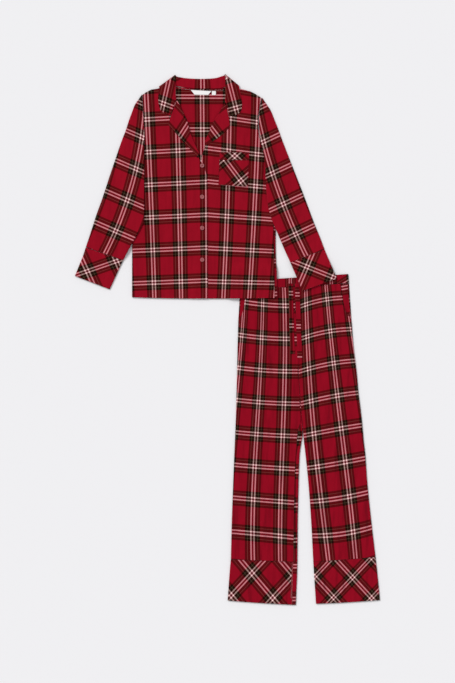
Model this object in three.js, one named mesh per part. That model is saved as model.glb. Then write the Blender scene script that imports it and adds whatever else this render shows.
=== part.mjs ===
// Tartan pyjama set laid flat: button-front shirt partly over long wide trousers.
// Millimetres, +Z up, the cloth rests on z = 0, origin under the middle of the plan.
import * as THREE from 'three';

// driving sizes
const UNIT = 3.1;           // mm for one unit of the plan tables
const MID_X = 227.4;        // plan units: the middle of the whole set, x to the right
const MID_Y = 340.39;       // plan units, y down the garment
const WALL = 1.4;           // cloth wall
const GAP = 0.35;           // between cloth that lies on cloth
const SEAM = 0.15;          // each side of a seam
const FOLD = 1.9;           // radius of a soft side fold, middle of the wall
const TUBE = 2 * FOLD + WALL;             // height of a flattened tube
const STEP = WALL + GAP;                  // one more layer of cloth
const GATHER = 1.0;                       // height of the gathers at the waist
const OVER_BODY = TUBE + 0.4;             // a sleeve that lies on the body
const OVER_WAIST = TUBE + GATHER + 0.45;  // shirt and cuff that lie on the trousers
const BUTTON_D = 13;
const BUTTON_H = 2.6;
const TIE_T = 1.6;
const LABEL_T = 1.0;

const RED = new THREE.Color(0x93112a);
const GREEN = new THREE.Color(0x28331f);

const clamp = (t) => Math.min(1, Math.max(0, t));
const soft = (t) => { const c = clamp(t); return c * c * (3 - 2 * c); };
const mix = (a, b, t) => a + (b - a) * t;
const rad = (deg) => deg * Math.PI / 180;
const plan = (x, y) => [(x - MID_X) * UNIT, (MID_Y - y) * UNIT];
const planX = (mm) => mm / UNIT + MID_X;
const planY = (mm) => MID_Y - mm / UNIT;

// smooth value of a table's column between its rows
function column(table, name, v) {
  const c = table.cols.indexOf(name);
  if (c < 0) return 0;
  const rows = table.rows, last = rows.length - 1;
  const at = (i) => rows[Math.min(last, Math.max(0, i))][c];
  const i = Math.min(last - 1, Math.max(0, Math.floor(v)));
  const t = v - i;
  const m0 = i > 0 ? (at(i + 1) - at(i - 1)) / 2 : at(1) - at(0);
  const m1 = i < last - 1 ? (at(i + 2) - at(i)) / 2 : at(last) - at(last - 1);
  const t2 = t * t, t3 = t2 * t;
  return (2 * t3 - 3 * t2 + 1) * at(i) + (t3 - 2 * t2 + t) * m0
    + (3 * t2 - 2 * t3) * at(i + 1) + (t3 - t2) * m1;
}
const rowAt = (table, v) => Object.fromEntries(
  table.cols.map((name) => [name, column(table, name, v)]));

// straight interpolation of y over x in a list of pairs
function along(pairs, x) {
  if (x <= pairs[0][0]) return pairs[0][1];
  for (let i = 1; i < pairs.length; i++) {
    if (x <= pairs[i][0]) {
      return mix(pairs[i - 1][1], pairs[i][1],
        (x - pairs[i - 1][0]) / (pairs[i][0] - pairs[i - 1][0]));
    }
  }
  return pairs[pairs.length - 1][1];
}

// triangles between two rows of stations, matched by their parameter
function zip(a, ua, b, ub, out) {
  let i = 0, j = 0;
  while (i < a.length - 1 || j < b.length - 1) {
    const stepA = j >= b.length - 1
      || (i < a.length - 1 && ua[i + 1] - ub[j] < ub[j + 1] - ua[i]);
    if (stepA) { out.push([a[i], a[i + 1], b[j]]); i++; }
    else { out.push([a[i], b[j + 1], b[j]]); j++; }
  }
}

const parts = new THREE.Group();
function addMesh(name, positions, triangles, colour) {
  let volume = 0;
  for (const [a, b, c] of triangles) {
    const p = positions[a], q = positions[b], r = positions[c];
    volume += p[0] * (q[1] * r[2] - q[2] * r[1]) - p[1] * (q[0] * r[2] - q[2] * r[0])
      + p[2] * (q[0] * r[1] - q[1] * r[0]);
  }
  const faces = volume < 0 ? triangles.map(([a, b, c]) => [a, c, b]) : triangles;
  const geometry = new THREE.BufferGeometry();
  geometry.setAttribute('position', new THREE.Float32BufferAttribute(positions.flat(), 3));
  geometry.setIndex(faces.flat());
  geometry.computeVertexNormals();
  const mesh = new THREE.Mesh(geometry, new THREE.MeshStandardMaterial({
    color: colour, roughness: 0.92, metalness: 0, name }));
  mesh.name = name;
  parts.add(mesh);
}

// a cloth wall on the middle surface S(u, v); us(v) are the stations of a row
function cloth(name, S, vs, us, { wall = WALL, closed = false, colour = RED } = {}) {
  const positions = [], rows = [];
  const uEnd = us(vs[0])[us(vs[0]).length - 1];
  const eps = 1e-3;
  for (const v of vs) {
    const list = us(v), row = [];
    for (const u of list) {
      const p = S(u, v);
      const u0 = closed ? u - eps : Math.max(list[0], u - eps);
      const u1 = closed ? u + eps : Math.min(uEnd, u + eps);
      const v0 = Math.max(vs[0], v - eps), v1 = Math.min(vs[vs.length - 1], v + eps);
      const a = S(u0, v), b = S(u1, v), c = S(u, v0), d = S(u, v1);
      const du = [b[0] - a[0], b[1] - a[1], b[2] - a[2]];
      const dv = [d[0] - c[0], d[1] - c[1], d[2] - c[2]];
      const n = [du[1] * dv[2] - du[2] * dv[1], du[2] * dv[0] - du[0] * dv[2],
        du[0] * dv[1] - du[1] * dv[0]];
      const l = Math.hypot(...n) || 1;
      row.push(positions.length / 2);
      positions.push(p.map((c0, k) => c0 + n[k] / l * wall / 2));
      positions.push(p.map((c0, k) => c0 - n[k] / l * wall / 2));
    }
    rows.push(row);
  }
  const skin = [];
  for (let j = 0; j + 1 < rows.length; j++) {
    const ua = [...us(vs[j])], ub = [...us(vs[j + 1])];
    const a = [...rows[j]], b = [...rows[j + 1]];
    if (closed) { a.push(a[0]); b.push(b[0]); ua.push(uEnd + 1); ub.push(uEnd + 1); }
    zip(a, ua, b, ub, skin);
  }
  const key = (a, b) => `${a},${b}`;
  const edges = new Set();
  for (const [a, b, c] of skin) { edges.add(key(a, b)); edges.add(key(b, c)); edges.add(key(c, a)); }
  const triangles = [];
  for (const [a, b, c] of skin) {
    triangles.push([2 * a, 2 * b, 2 * c], [2 * c + 1, 2 * b + 1, 2 * a + 1]);
    for (const [p, q] of [[a, b], [b, c], [c, a]]) {
      if (!edges.has(key(q, p))) {
        triangles.push([2 * q, 2 * p, 2 * p + 1], [2 * q, 2 * p + 1, 2 * q + 1]);
      }
    }
  }
  addMesh(name, positions, triangles, colour);
}

// one point of a flattened tube between the plan points a and b of a row:
// share across and turn (90 top, 180 round the a side, 0 round the b side, -90 under)
function ringPoint(row, share, turn, { lift = () => 0, puff = () => 0, fold = FOLD } = {}) {
  const A = plan(row.ax, row.ay), B = plan(row.bx, row.by);
  const span = Math.hypot(B[0] - A[0], B[1] - A[1]);
  const d = [(B[0] - A[0]) / span, (B[1] - A[1]) / span];
  const edge = fold + WALL / 2;
  const s = edge + (span - 2 * edge) * share + fold * Math.cos(rad(turn));
  const bow = (row.bow || 0) * UNIT * 4 * clamp(s / span) * (1 - clamp(s / span));
  const x = A[0] + d[0] * s + d[1] * bow;
  const y = A[1] + d[1] * s - d[0] * bow;
  const top = (1 + Math.sin(rad(turn))) / 2;
  const z = WALL / 2 + fold + fold * Math.sin(rad(turn))
    + lift(planX(x), planY(y)) + top * puff(planX(x), planY(y));
  return [x, y, z];
}
const knotAt = (knots, u) => {
  const i = Math.min(knots.length - 2, Math.max(0, Math.floor(u)));
  const t = u - i;
  return [mix(knots[i][0], knots[i + 1][0], t), mix(knots[i][1], knots[i + 1][1], t)];
};
const count = (n) => Array.from({ length: n }, (_, i) => i);
const spread = (a, b, n) => count(n + 1).map((i) => a + (b - a) * i / n);

// a panel that is part of a flattened tube; knots(v) gives [share, turn] pairs
function ringPanel(name, table, vs, knots, options = {}, pick = null) {
  const n = knots(vs[0]).length;
  const all = count(n);
  const S = (u, v) => {
    const [share, turn] = knotAt(knots(v), u);
    return ringPoint(rowAt(table, v), share, turn, options);
  };
  cloth(name, S, vs, pick || (() => all), options);
}
// a whole flattened tube
function ringTube(name, table, vs, flats, under, options = {}) {
  const knots = [...flats.map((f) => [f, 90]), [1, 45], [1, 0], [1, -45],
    ...[...under].reverse().map((f) => [f, -90]), [0, -135], [0, -180], [0, -225]];
  const n = knots.length;
  const loop = [...knots, [flats[0], -270]];
  const S = (u, v) => {
    const w = ((u % n) + n) % n;
    const i = Math.floor(w), t = w - i;
    const share = mix(loop[i][0], loop[i + 1][0], t);
    const turn = mix(loop[i][1], loop[i + 1][1], t);
    return ringPoint(rowAt(table, v), share, turn, options);
  };
  cloth(name, S, vs, () => count(n), { ...options, closed: true });
}

// SHIRT

// armhole seams, straight on the wearer's right, bowed on the wearer's left
const armholeRight = (f) => [mix(142.3, 144.5, f), mix(95.0, 133, f)];
const armholeLeft = (f) => [mix(261.6, 259.4, f) - 2.1 * 4 * f * (1 - f), mix(97.6, 137, f)];
const [ar1, ar2, ar3, ar4] = [1, 0.7, 0.4, 0.12].map(armholeRight);
const [al1, al2, al3, al4] = [1, 0.7, 0.4, 0.12].map(armholeLeft);

// the body's two sides, from the hem to the armholes
const body = {
  cols: ['ax', 'ay', 'bx', 'by', 'bow'],
  rows: [
    [132.0, 297.2, 277.2, 297.7, 0.9],
    [132.0, 284.0, 277.0, 284.0, 0.8],
    [132.0, 270.0, 276.8, 270.0, 0.4],
    [132.0, 262.0, 276.2, 262.0, 0.2],
    [132.0, 246.0, 275.7, 246.0, 0],
    [132.0, 225.0, 275.5, 225.0, 0],
    [132.2, 205.0, 275.3, 205.0, 0],
    [133.2, 190.0, 274.4, 190.0, 0],
    [136.5, 178.0, 271.5, 178.0, 0],
    [141.0, 168.0, 267.4, 168.0, 0],
    [143.9, 157.0, 264.5, 157.0, 0],
    [144.35, 146.0, 262.1, 148.0, 0],
    [...ar1, ...al1, 0],
    [...ar2, ...al2, 0],
    [...ar3, ...al3, 0],
    [...ar4, ...al4, 0],
  ],
};
const bodyLeftEdge = [[95, 142.3], [133, 144.5], [157, 144.9], [168, 141], [178, 136.5],
  [190, 133.2], [205, 132.2], [298, 132]];
const bodyRightEdge = [[97, 261.5], [117, 258.4], [137, 259.4], [148, 261.6], [157, 263.9],
  [168, 267.4], [178, 271.5], [190, 274.4], [205, 275.3], [246, 275.7], [298, 277.2]];

// how far the shirt's body is raised where it lies on the trousers' waist
const bodyLift = (x, y) => OVER_WAIST * soft((x - 224.5) / 9) * soft((y - 262) / 9);
// the back also rides over the fall of the collar behind the neck
const backLift = (x, y) => bodyLift(x, y) + STEP * soft((107 - y) / 6)
  * soft((x - 148) / 7) * soft((252 - x) / 7);
// the wearer's right front laps over the left one
const lapLift = (x, y) => STEP * soft((x - 186.5) / 9) * soft((y - 146) / 14);

// the shoulder line and the neck seam behind, top edge of the back
const backTop = [[142.3, 95.6], [146.1, 92.9], [151.4, 90.1], [158.9, 88.8], [164, 86.0],
  [168.2, 84.4], [172.5, 85.6], [177.3, 86.6], [183.7, 88.1], [194, 89.0], [205, 89.3],
  [214, 89.3], [225.5, 88.8], [228.2, 87.4], [231.4, 86.0], [234.6, 86.9], [238.4, 88.8],
  [244, 90.1], [250, 91.9], [255, 94.4], [261.4, 98.4]];
const SHOULDER_TURNS = [0, 45, 85];

// side of a tube: a full fold where on is 1, a straight end at the seam where it is 0
function sideKnots(row, on, turns, side, reach = 0) {
  const A = plan(row.ax, row.ay), B = plan(row.bx, row.by);
  const len = Math.hypot(B[0] - A[0], B[1] - A[1]) - 2 * (FOLD + WALL / 2);
  const end = (FOLD + WALL / 2 - SEAM) / len;
  const n = turns.length;
  return turns.map((turn, i) => {
    const flatShare = side === 'a' ? -end * (1 - i / n) : 1 + end * (i + 1) / n;
    const level = side === 'a' ? turns[n - 1] : turns[0];
    const fullShare = (side === 'a' ? 0 : 1)
      + (reach && i === n - 1 ? -reach * UNIT / len : 0);
    return [mix(flatShare, fullShare, on), mix(level, turn, on)];
  });
}

// back: whole width, turned up round both sides below the armholes
{
  const folded = (v) => 1 - soft((v - 9) / 1);
  const flats = [132.8, 146, 160, 176, 192, 208, 224.5, 227.5, 230.5, 233.5, 242, 252, 264, 276]
    .map((x) => (x - 132.8) / (276 - 132.8)).slice(1, -1).reverse();
  const knots = (v) => {
    const row = rowAt(body, Math.min(v, 15));
    const wrap = folded(v) * soft((6.5 - v) / 1.5);
    const right = sideKnots(row, folded(v), [90 * wrap - 5 * (1 - wrap), 45 * wrap - 30 * (1 - wrap),
      -55 * (1 - wrap), -45 * wrap - 70 * (1 - wrap), -90], 'a');
    const mirrored = right.map(([s, t]) => [1 - s, t]);
    const left = sideKnots(row, folded(v), [-90, -130, -175], 'a').map(([s, t], i, list) => {
      const straight = -(FOLD + WALL / 2 - SEAM)
        / (Math.hypot((row.bx - row.ax) * UNIT, (row.by - row.ay) * UNIT) - 2 * FOLD - WALL);
      return [mix(straight * (i + 1) / list.length, 0, folded(v)), mix(-90, t, folded(v))];
    });
    return [...mirrored, ...flats.map((f) => [f, -90]), ...left];
  };
  const top = 15, n = knots(0).length;
  const S = (u, v) => {
    if (v <= top) {
      const [share, turn] = knotAt(knots(v), u);
      return ringPoint(rowAt(body, v), share, turn, { lift: backLift });
    }
    const [share, turn] = knotAt(knots(top), u);
    const p = ringPoint(rowAt(body, top), share, turn, {});
    const x = planX(p[0]);
    const line = Math.min(along(backTop, x), planY(p[1]) - 0.6);
    const neck = soft((x - 167.6) / 1.4) * soft((231.9 - x) / 1.4);
    const low = WALL / 2 + backLift(x, line), high = TUBE - WALL / 2;
    const zMid = (low + high) / 2, r = (high - low) / 2;
    const k = clamp(v - top);                     // up to the axis of the shoulder fold
    const turnUp = rad(SHOULDER_TURNS[2] * clamp((v - top - 1) / 2)) * (1 - neck);
    const y = mix(planY(p[1]), line, k);
    const z0 = WALL / 2 + backLift(x, y);
    return [p[0], plan(x, y)[1] + r * Math.sin(turnUp) + neck * 0.5 * clamp((v - top - 1) / 2),
      v - top <= 1 ? z0 : zMid - r * Math.cos(turnUp)];
  };
  const vs = [0, 1, 2, 2.33, 2.67, 3, 4, 6, 7, 8, 9, 10, 11, 12, 13.5, 15, 16, 17, 18];
  const fine = spread(0, n - 1, Math.round((n - 1) * 1.5));
  cloth('shirt_back', S, vs, (v) => (v >= 15 ? fine : count(n)));
}

// wearer's right front: from its side to the front edge, and up the turned edge of its lapel
const frontRight = {
  cols: ['ax', 'ay', 'bx', 'by', 'bow'],
  rows: [
    [132.0, 297.2, 208.0, 298.5, 0.5],
    [132.0, 284.0, 208.0, 284.6, 0.4],
    [132.0, 270.0, 208.0, 270.2, 0.2],
    [132.0, 262.0, 208.0, 262.0, 0],
    [132.0, 246.0, 208.0, 246.0, 0],
    [132.0, 225.0, 208.0, 225.0, 0],
    [132.2, 205.0, 208.0, 205.0, 0],
    [133.2, 190.0, 207.8, 190.0, 0],
    [136.5, 178.0, 207.0, 178.0, 0],
    [141.0, 168.0, 204.6, 168.0, 0],
    [143.9, 157.0, 200.6, 160.6, 0],
    [144.35, 146.0, 196.2, 149.0, 0],
    [...ar1, 190.9, 138.0, 0],
    [...ar2, 187.2, 124.0, 0],
    [...ar3, 181.2, 110.0, 0],
    [...ar4, 175.0, 98.6, -0.3],
    [142.3, 96.2, 168.2, 84.5, -0.6],
  ],
};
// wearer's left front, under the other one, to the side seam
const frontLeft = {
  cols: ['ax', 'ay', 'bx', 'by', 'bow'],
  rows: [
    [196.0, 298.4, 274.6, 298.0, 0.3],
    [196.0, 284.6, 274.4, 284.0, 0.3],
    [196.0, 270.2, 274.2, 270.0, 0.1],
    [196.0, 262.0, 274.0, 262.0, 0],
    [196.0, 246.0, 273.8, 246.0, 0],
    [196.0, 225.0, 273.6, 225.0, 0],
    [196.0, 205.0, 273.4, 205.0, 0],
    [196.0, 190.0, 273.0, 190.0, 0],
    [196.6, 176.0, 270.9, 178.0, 0],
    [200.4, 167.0, 267.2, 168.0, 0],
    [201.8, 157.0, 264.5, 157.0, 0],
    [203.6, 149.4, 262.1, 148.0, 0],
    [207.6, 138.6, ...al1, 0],
    [213.0, 126.2, ...al2, 0],
    [220.2, 113.8, ...al3, 0],
    [226.4, 101.4, ...al4, 0],
    [231.4, 86.1, 261.4, 99.0, -1.3],
  ],
};
const SHOULDER = 16;
function frontPanel(name, table, knots, lift, vs) {
  const S = (u, v) => {
    const w = Math.min(v, SHOULDER);
    const row = rowAt(table, w);
    const [share, turn] = knotAt(knots(w, row), u);
    const p = ringPoint(row, share, turn, { lift });
    const x = planX(p[0]);
    p[1] = mix(p[1], plan(x, along(backTop, x))[1], clamp(v - SHOULDER + 1));
    if (v <= SHOULDER) return p;
    const low = WALL / 2 + backLift(x, planY(p[1])), high = TUBE - WALL / 2;
    const zMid = (low + high) / 2, r = (high - low) / 2;
    const turnDown = rad(SHOULDER_TURNS[2] * clamp((v - SHOULDER) / 2));
    return [p[0], p[1] + r * Math.sin(turnDown), zMid + r * Math.cos(turnDown)];
  };
  const n = knots(0, rowAt(table, 0)).length;
  cloth(name, S, vs, () => count(n));
}
const straightEnd = (row) => {
  const len = Math.hypot((row.bx - row.ax) * UNIT, (row.by - row.ay) * UNIT) - 2 * FOLD - WALL;
  return (FOLD + WALL / 2 - SEAM) / len;
};
const frontRows = [0, 1, 2, 2.33, 2.67, 3, 4, 6, 7, 8, 9, 9.5, 10, 11, 12, 13, 14, 15, 16, 17, 18];
// a front ends ROLL_IN short of the turned edge, which the lapel's own roll fills
const ROLL_R = STEP / 2;
const ROLL_IN = ROLL_R + WALL / 2 + 0.3;
{
  const xs = [146, 160, 176, 186.5, 189.5, 192.5, 195.5, 201];
  const knots = (v, row) => {
    const folded = 1 - soft((v - 9) / 1);
    const e = straightEnd(row);
    const a = [175, 130, 90].map((turn, i) => [mix(-e * (1 - i / 3), 0, folded), mix(90, turn, folded)]);
    const width = row.bx - row.ax;
    const turned = soft((v - 9.6) / 0.4);
    const inset = turned * (ROLL_IN - SEAM) / (width * UNIT);
    const list = xs.map((x) => [(x - 132) / 76, 90]);
    return [...a, ...list, [1 + e - inset, 90]];
  };
  frontPanel('shirt_front_right', frontRight, knots,
    (x, y) => bodyLift(x, y) + lapLift(x, y), frontRows);
}
{
  const xs = [204, 214, 224.5, 227.5, 230.5, 233.5, 242, 252, 264];
  const knots = (v, row) => {
    const e = straightEnd(row);
    const width = row.bx - row.ax;
    const turned = soft((v - 10.6) / 0.4);
    const inset = turned * (ROLL_IN - SEAM) / (width * UNIT);
    const list = xs.map((x) => [(x - 196) / 78, 90]);
    return [[-e + inset, 90], ...list, [1 + e, 90]];
  };
  frontPanel('shirt_front_left', frontLeft, knots, bodyLift, frontRows);
}

// lapels: a turned layer on each front, rolled round its edge
const lapelRight = {
  cols: ['ax', 'ay', 'bx', 'by'],
  rows: [
    [176.9, 100.3, 170.8, 116.0],
    [180.6, 106.5, 169.7, 119.8],
    [183.6, 113.0, 168.8, 124.8],
    [186.9, 120.5, 173.5, 130.6],
    [189.3, 128.5, 178.7, 136.4],
    [191.9, 137.0, 186.0, 145.2],
    [195.6, 145.6, 191.8, 150.2],
    [199.2, 153.2, 196.8, 156.9],
    [201.5, 159.4, 200.4, 160.9],
  ],
};
const lapelLeft = {
  cols: ['ax', 'ay', 'bx', 'by'],
  rows: [
    [225.0, 101.8, 228.8, 117.0],
    [222.4, 107.0, 229.3, 121.4],
    [219.4, 112.4, 229.5, 127.0],
    [216.0, 117.4, 226.0, 130.6],
    [213.0, 122.8, 221.6, 134.8],
    [210.4, 128.8, 216.2, 139.2],
    [207.7, 135.0, 210.6, 142.4],
    [205.1, 141.3, 206.3, 145.5],
    [203.2, 146.4, 203.4, 147.9],
  ],
};
const ON_FRONT = TUBE + GAP + WALL / 2;     // middle of the first layer on a front
function lapel(name, table, vs, extra = () => 0) {
  const S = (u, v) => {
    const row = rowAt(table, v);
    const A = plan(row.ax, row.ay), B = plan(row.bx, row.by);
    const span = Math.hypot(B[0] - A[0], B[1] - A[1]);
    const d = [(B[0] - A[0]) / span, (B[1] - A[1]) / span];
    const inset = ROLL_R + WALL / 2;
    const over = (x, y, z) => [x, y, z + extra(planX(x), planY(y))];
    if (u >= 1) {
      const s = mix(inset, span, (u - 1) / 4);
      return over(A[0] + d[0] * s, A[1] + d[1] * s, ON_FRONT);
    }
    const turn = rad(-90 + 180 * clamp(u));
    const s = inset - ROLL_R * Math.cos(turn);
    return over(A[0] + d[0] * s, A[1] + d[1] * s, ON_FRONT - ROLL_R + ROLL_R * Math.sin(turn));
  };
  cloth(name, S, vs, () => [0.02, 0.25, 0.5, 0.75, 1, 2, 3.4, 5]);
}
lapel('lapel_right', lapelRight, [0, 1, 2, 3, 4, 4.5, 5, 5.5, 6, 6.5, 7.2],
  (x, y) => 1.15 * lapLift(x, y));
lapel('lapel_left', lapelLeft, [0, 1, 2, 3, 4, 5, 6, 7]);

// collar: fall and stand in one, from one gorge round the back of the neck to the other.
// r is the roll, n the neck seam, f the fall's edge; turn 0 lies in front, 180 behind
const collar = {
  cols: ['rx', 'ry', 'nx', 'ny', 'fx', 'fy', 'turn'],
  rows: [
    [176.2, 99.6, 175.4, 100.3, 170.5, 115.3, 0],
    [175.8, 96.0, 174.2, 97.2, 164.8, 113.3, 0],
    [175.6, 92.0, 172.9, 93.6, 160.9, 110.6, 0],
    [175.6, 88.0, 171.6, 90.4, 158.8, 104.6, 0],
    [175.6, 84.0, 170.6, 87.3, 158.2, 98.0, 0],
    [175.6, 79.6, 169.8, 84.9, 158.8, 91.2, 0],
    [175.7, 77.0, 169.6, 83.8, 159.4, 88.2, 0],
    [175.7, 76.2, 169.4, 83.2, 159.5, 87.6, 45],
    [175.8, 75.5, 169.4, 82.8, 159.6, 87.3, 90],
    [176.0, 75.7, 169.8, 83.2, 160.0, 87.5, 135],
    [176.3, 76.0, 170.6, 83.6, 160.4, 88.1, 180],
    [177.0, 76.4, 173.0, 84.8, 161.8, 91.4, 180],
    [180.8, 77.2, 180.4, 86.4, 170.6, 96.6, 180],
    [187.2, 78.1, 187.4, 87.6, 184.0, 98.6, 180],
    [200.4, 78.7, 200.4, 88.3, 200.4, 99.4, 180],
    [213.8, 78.1, 213.6, 88.4, 217.0, 98.6, 180],
    [220.0, 76.6, 220.6, 87.9, 230.4, 96.2, 180],
    [223.6, 75.4, 227.0, 86.2, 238.0, 90.9, 180],
    [224.1, 75.3, 229.2, 84.9, 238.0, 87.6, 180],
    [224.4, 74.9, 229.8, 84.2, 238.3, 86.8, 135],
    [224.5, 74.7, 230.2, 83.8, 238.6, 86.6, 90],
    [224.8, 75.1, 230.2, 83.8, 238.9, 86.8, 45],
    [225.0, 76.0, 230.2, 84.4, 239.2, 87.6, 0],
    [225.3, 79.2, 230.0, 85.0, 240.2, 91.6, 0],
    [225.4, 84.0, 229.6, 87.3, 241.4, 99.0, 0],
    [225.4, 88.0, 228.8, 90.2, 242.0, 105.0, 0],
    [225.4, 92.4, 227.9, 93.6, 240.6, 111.4, 0],
    [225.3, 96.8, 226.8, 97.6, 236.0, 115.0, 0],
    [225.1, 100.7, 225.9, 101.1, 229.2, 116.4, 0],
  ],
};
{
  const AXIS = (TUBE - WALL / 2 + WALL / 2 + STEP) / 2;     // height of the fold's axis
  const STAND_R = (TUBE - WALL / 2) - AXIS, FALL_R = STAND_R + STEP;
  const outward = (v) => (v < 14 ? [-0.577, 0.817] : [0.651, 0.759]);
  const S = (u, v) => {
    const row = rowAt(collar, v);
    const R = plan(row.rx, row.ry), N = plan(row.nx, row.ny), F = plan(row.fx, row.fy);
    const c = Math.cos(rad(row.turn)), s = Math.sin(rad(row.turn));
    const out = outward(v);
    const place = (x, y, radius) => [x + out[0] * radius * s, y + out[1] * radius * s,
      AXIS + radius * c];
    const inset = ROLL_R + WALL / 2;
    const df = Math.hypot(F[0] - R[0], F[1] - R[1]);
    const d = [(F[0] - R[0]) / df, (F[1] - R[1]) / df];
    const dn = Math.hypot(N[0] - R[0], N[1] - R[1]) || 1;
    const e = [(N[0] - R[0]) / dn, (N[1] - R[1]) / dn];
    if (u < 1) {                                            // stand: neck seam to roll
      const from = Math.max(dn, inset + 0.8);
      const t = mix(from, inset, clamp(u));
      return place(R[0] + e[0] * t, R[1] + e[1] * t, STAND_R);
    }
    if (u <= 2) {                                           // the roll itself
      const a = Math.PI * (u - 1);
      const g = [mix(e[0], d[0], u - 1), mix(e[1], d[1], u - 1)];
      const l = Math.hypot(...g) || 1;
      const k = inset - ROLL_R * Math.sin(a);
      return place(R[0] + g[0] / l * k, R[1] + g[1] / l * k,
        (STAND_R + FALL_R) / 2 - ROLL_R * Math.cos(a));
    }
    const t = mix(inset, df, (u - 2) / 3);
    return place(R[0] + d[0] * t, R[1] + d[1] * t, FALL_R);
  };
  const vs = [0, 1, 2, 3, 4, 5, 6, 7, 8, 9, 10, 11, 12, 13, 14, 15, 16, 17, 18, 19, 20, 21, 22,
    23, 24, 25, 26, 27, 28];
  cloth('collar', S, vs, () => [0, 1, 1.25, 1.5, 1.75, 2, 3.5, 5]);
}

// sleeves: outer edge a, inner edge b, from the armhole to the cuff seam
const sleeveRight = {
  cols: ['ax', 'ay', 'bx', 'by'],
  rows: [
    [141.9, 94.3, 144.3, 133.2],
    [138.8, 99.0, 144.2, 136.4],
    [135.0, 104.4, 144.2, 139.4],
    [132.2, 111.5, 144.2, 142.5],
    [129.2, 119.5, 144.2, 146.0],
    [125.6, 130.5, 144.3, 150.5],
    [121.4, 141.4, 144.3, 156.5],
    [115.2, 159.3, 144.3, 172.0],
    [108.1, 180.5, 144.3, 194.5],
    [102.2, 198.5, 144.2, 213.5],
    [99.2, 206.8, 143.6, 221.6],
    [96.0, 215.6, 140.1, 229.6],
    [91.0, 231.2, 131.6, 244.5],
    [85.7, 247.2, 123.2, 260.2],
  ],
};
const sleeveLeft = {
  cols: ['ax', 'ay', 'bx', 'by', 'bow'],
  rows: [
    [262.1, 97.4, 260.2, 137.2, 2.1],
    [264.6, 101.2, 260.6, 140.0, 1.6],
    [267.8, 105.8, 260.9, 142.6, 1.1],
    [271.0, 111.1, 261.6, 145.4, 0.7],
    [274.1, 118.9, 262.5, 149.0, 0.4],
    [277.9, 128.3, 263.6, 153.6, 0.2],
    [282.1, 139.8, 264.7, 159.6, 0],
    [288.0, 155.0, 265.4, 167.5, 0],
    [294.4, 171.3, 265.7, 182.8, 0],
    [301.3, 188.8, 267.4, 202.0, 0],
    [307.0, 203.8, 270.9, 217.3, 0],
    [313.5, 221.3, 277.2, 232.6, 0],
    [319.6, 236.2, 284.2, 249.0, 0],
    [324.5, 249.0, 290.4, 262.6, 0],
  ],
};
const cuffRight = {
  cols: ['ax', 'ay', 'bx', 'by'],
  rows: [
    [85.6, 247.3 + 0.1, 123.1, 260.3 + 0.1],
    [82.8, 256.0, 119.6, 267.6],
    [78.8, 266.0, 114.6, 278.6],
    [74.8, 275.9, 109.6, 289.3],
  ],
};
const cuffLeft = {
  cols: ['ax', 'ay', 'bx', 'by'],
  rows: [
    [324.5, 249.1 + 0.05, 290.4, 262.7 + 0.05],
    [328.6, 259.1, 294.3, 272.0],
    [332.7, 269.0, 298.4, 281.6],
    [336.8, 278.6, 302.4, 291.0],
  ],
};
const rightSleeveLift = (x, y) => OVER_BODY * soft((y - 134) / 14)
  * soft((x - (along(bodyLeftEdge, y) - 15)) / 9.5) * soft((262 - y) / 10);
const leftSleeveLift = (x, y) => Math.max(
  OVER_BODY * soft((y - 137) / 14) * soft((along(bodyRightEdge, y) + 15 - x) / 9.5)
    * soft((268 - y) / 14),
  OVER_WAIST * soft((y - 253) / 14));
const sleeveFlats = spread(0, 1, 5), sleeveUnder = spread(0, 1, 9);
const sleeveRows = [0.004, 1, 2.5, 4, 5, 6, 7, 8, 9, 10, 11, 12, 13];
ringTube('sleeve_right', sleeveRight, sleeveRows, sleeveFlats, sleeveUnder, { lift: rightSleeveLift });
ringTube('sleeve_left', sleeveLeft, sleeveRows, sleeveFlats, sleeveUnder, { lift: leftSleeveLift });
ringTube('cuff_right', cuffRight, [0, 1, 2, 3], sleeveFlats, sleeveUnder, { lift: rightSleeveLift });
ringTube('cuff_left', cuffLeft, [0, 0.5, 1, 1.5, 2, 3], sleeveFlats, sleeveUnder, { lift: leftSleeveLift });

// flat pieces that lie on a panel: four plan corners from the top left, clockwise
function patch(name, corners, z, wall, nu, nv, colour = RED) {
  const S = (u, v) => {
    const [p, q, r, s] = corners;
    const x = mix(mix(p[0], q[0], u), mix(s[0], r[0], u), v);
    const y = mix(mix(p[1], q[1], u), mix(s[1], r[1], u), v);
    return [...plan(x, y), z(x, y)];
  };
  cloth(name, S, spread(0, 1, nv), () => spread(0, 1, nu), { wall, colour });
}
const onLeftFront = () => TUBE + GAP + 0.6;
patch('pocket_band', [[219.7, 152.0], [249.0, 152.3], [248.8, 160.2], [219.4, 160.0]],
  onLeftFront, 1.2, 4, 2);
patch('chest_pocket', [[219.4, 160.1], [248.8, 160.3], [247.9, 186.8], [218.5, 184.6]],
  onLeftFront, 1.2, 4, 4);
const onBack = (x, y) => WALL + backLift(x, y) + GAP + LABEL_T / 2;
patch('neck_label', [[190.7, 89.9], [211.3, 91.0], [208.3, 94.8], [194.5, 94.6]],
  onBack, LABEL_T, 3, 2, new THREE.Color(0xf3f1ee));
patch('size_label', [[211.8, 90.8], [215.9, 90.9], [215.8, 95.0], [211.7, 94.9]],
  onBack, LABEL_T, 2, 2, new THREE.Color(0xf3f1ee));

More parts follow.
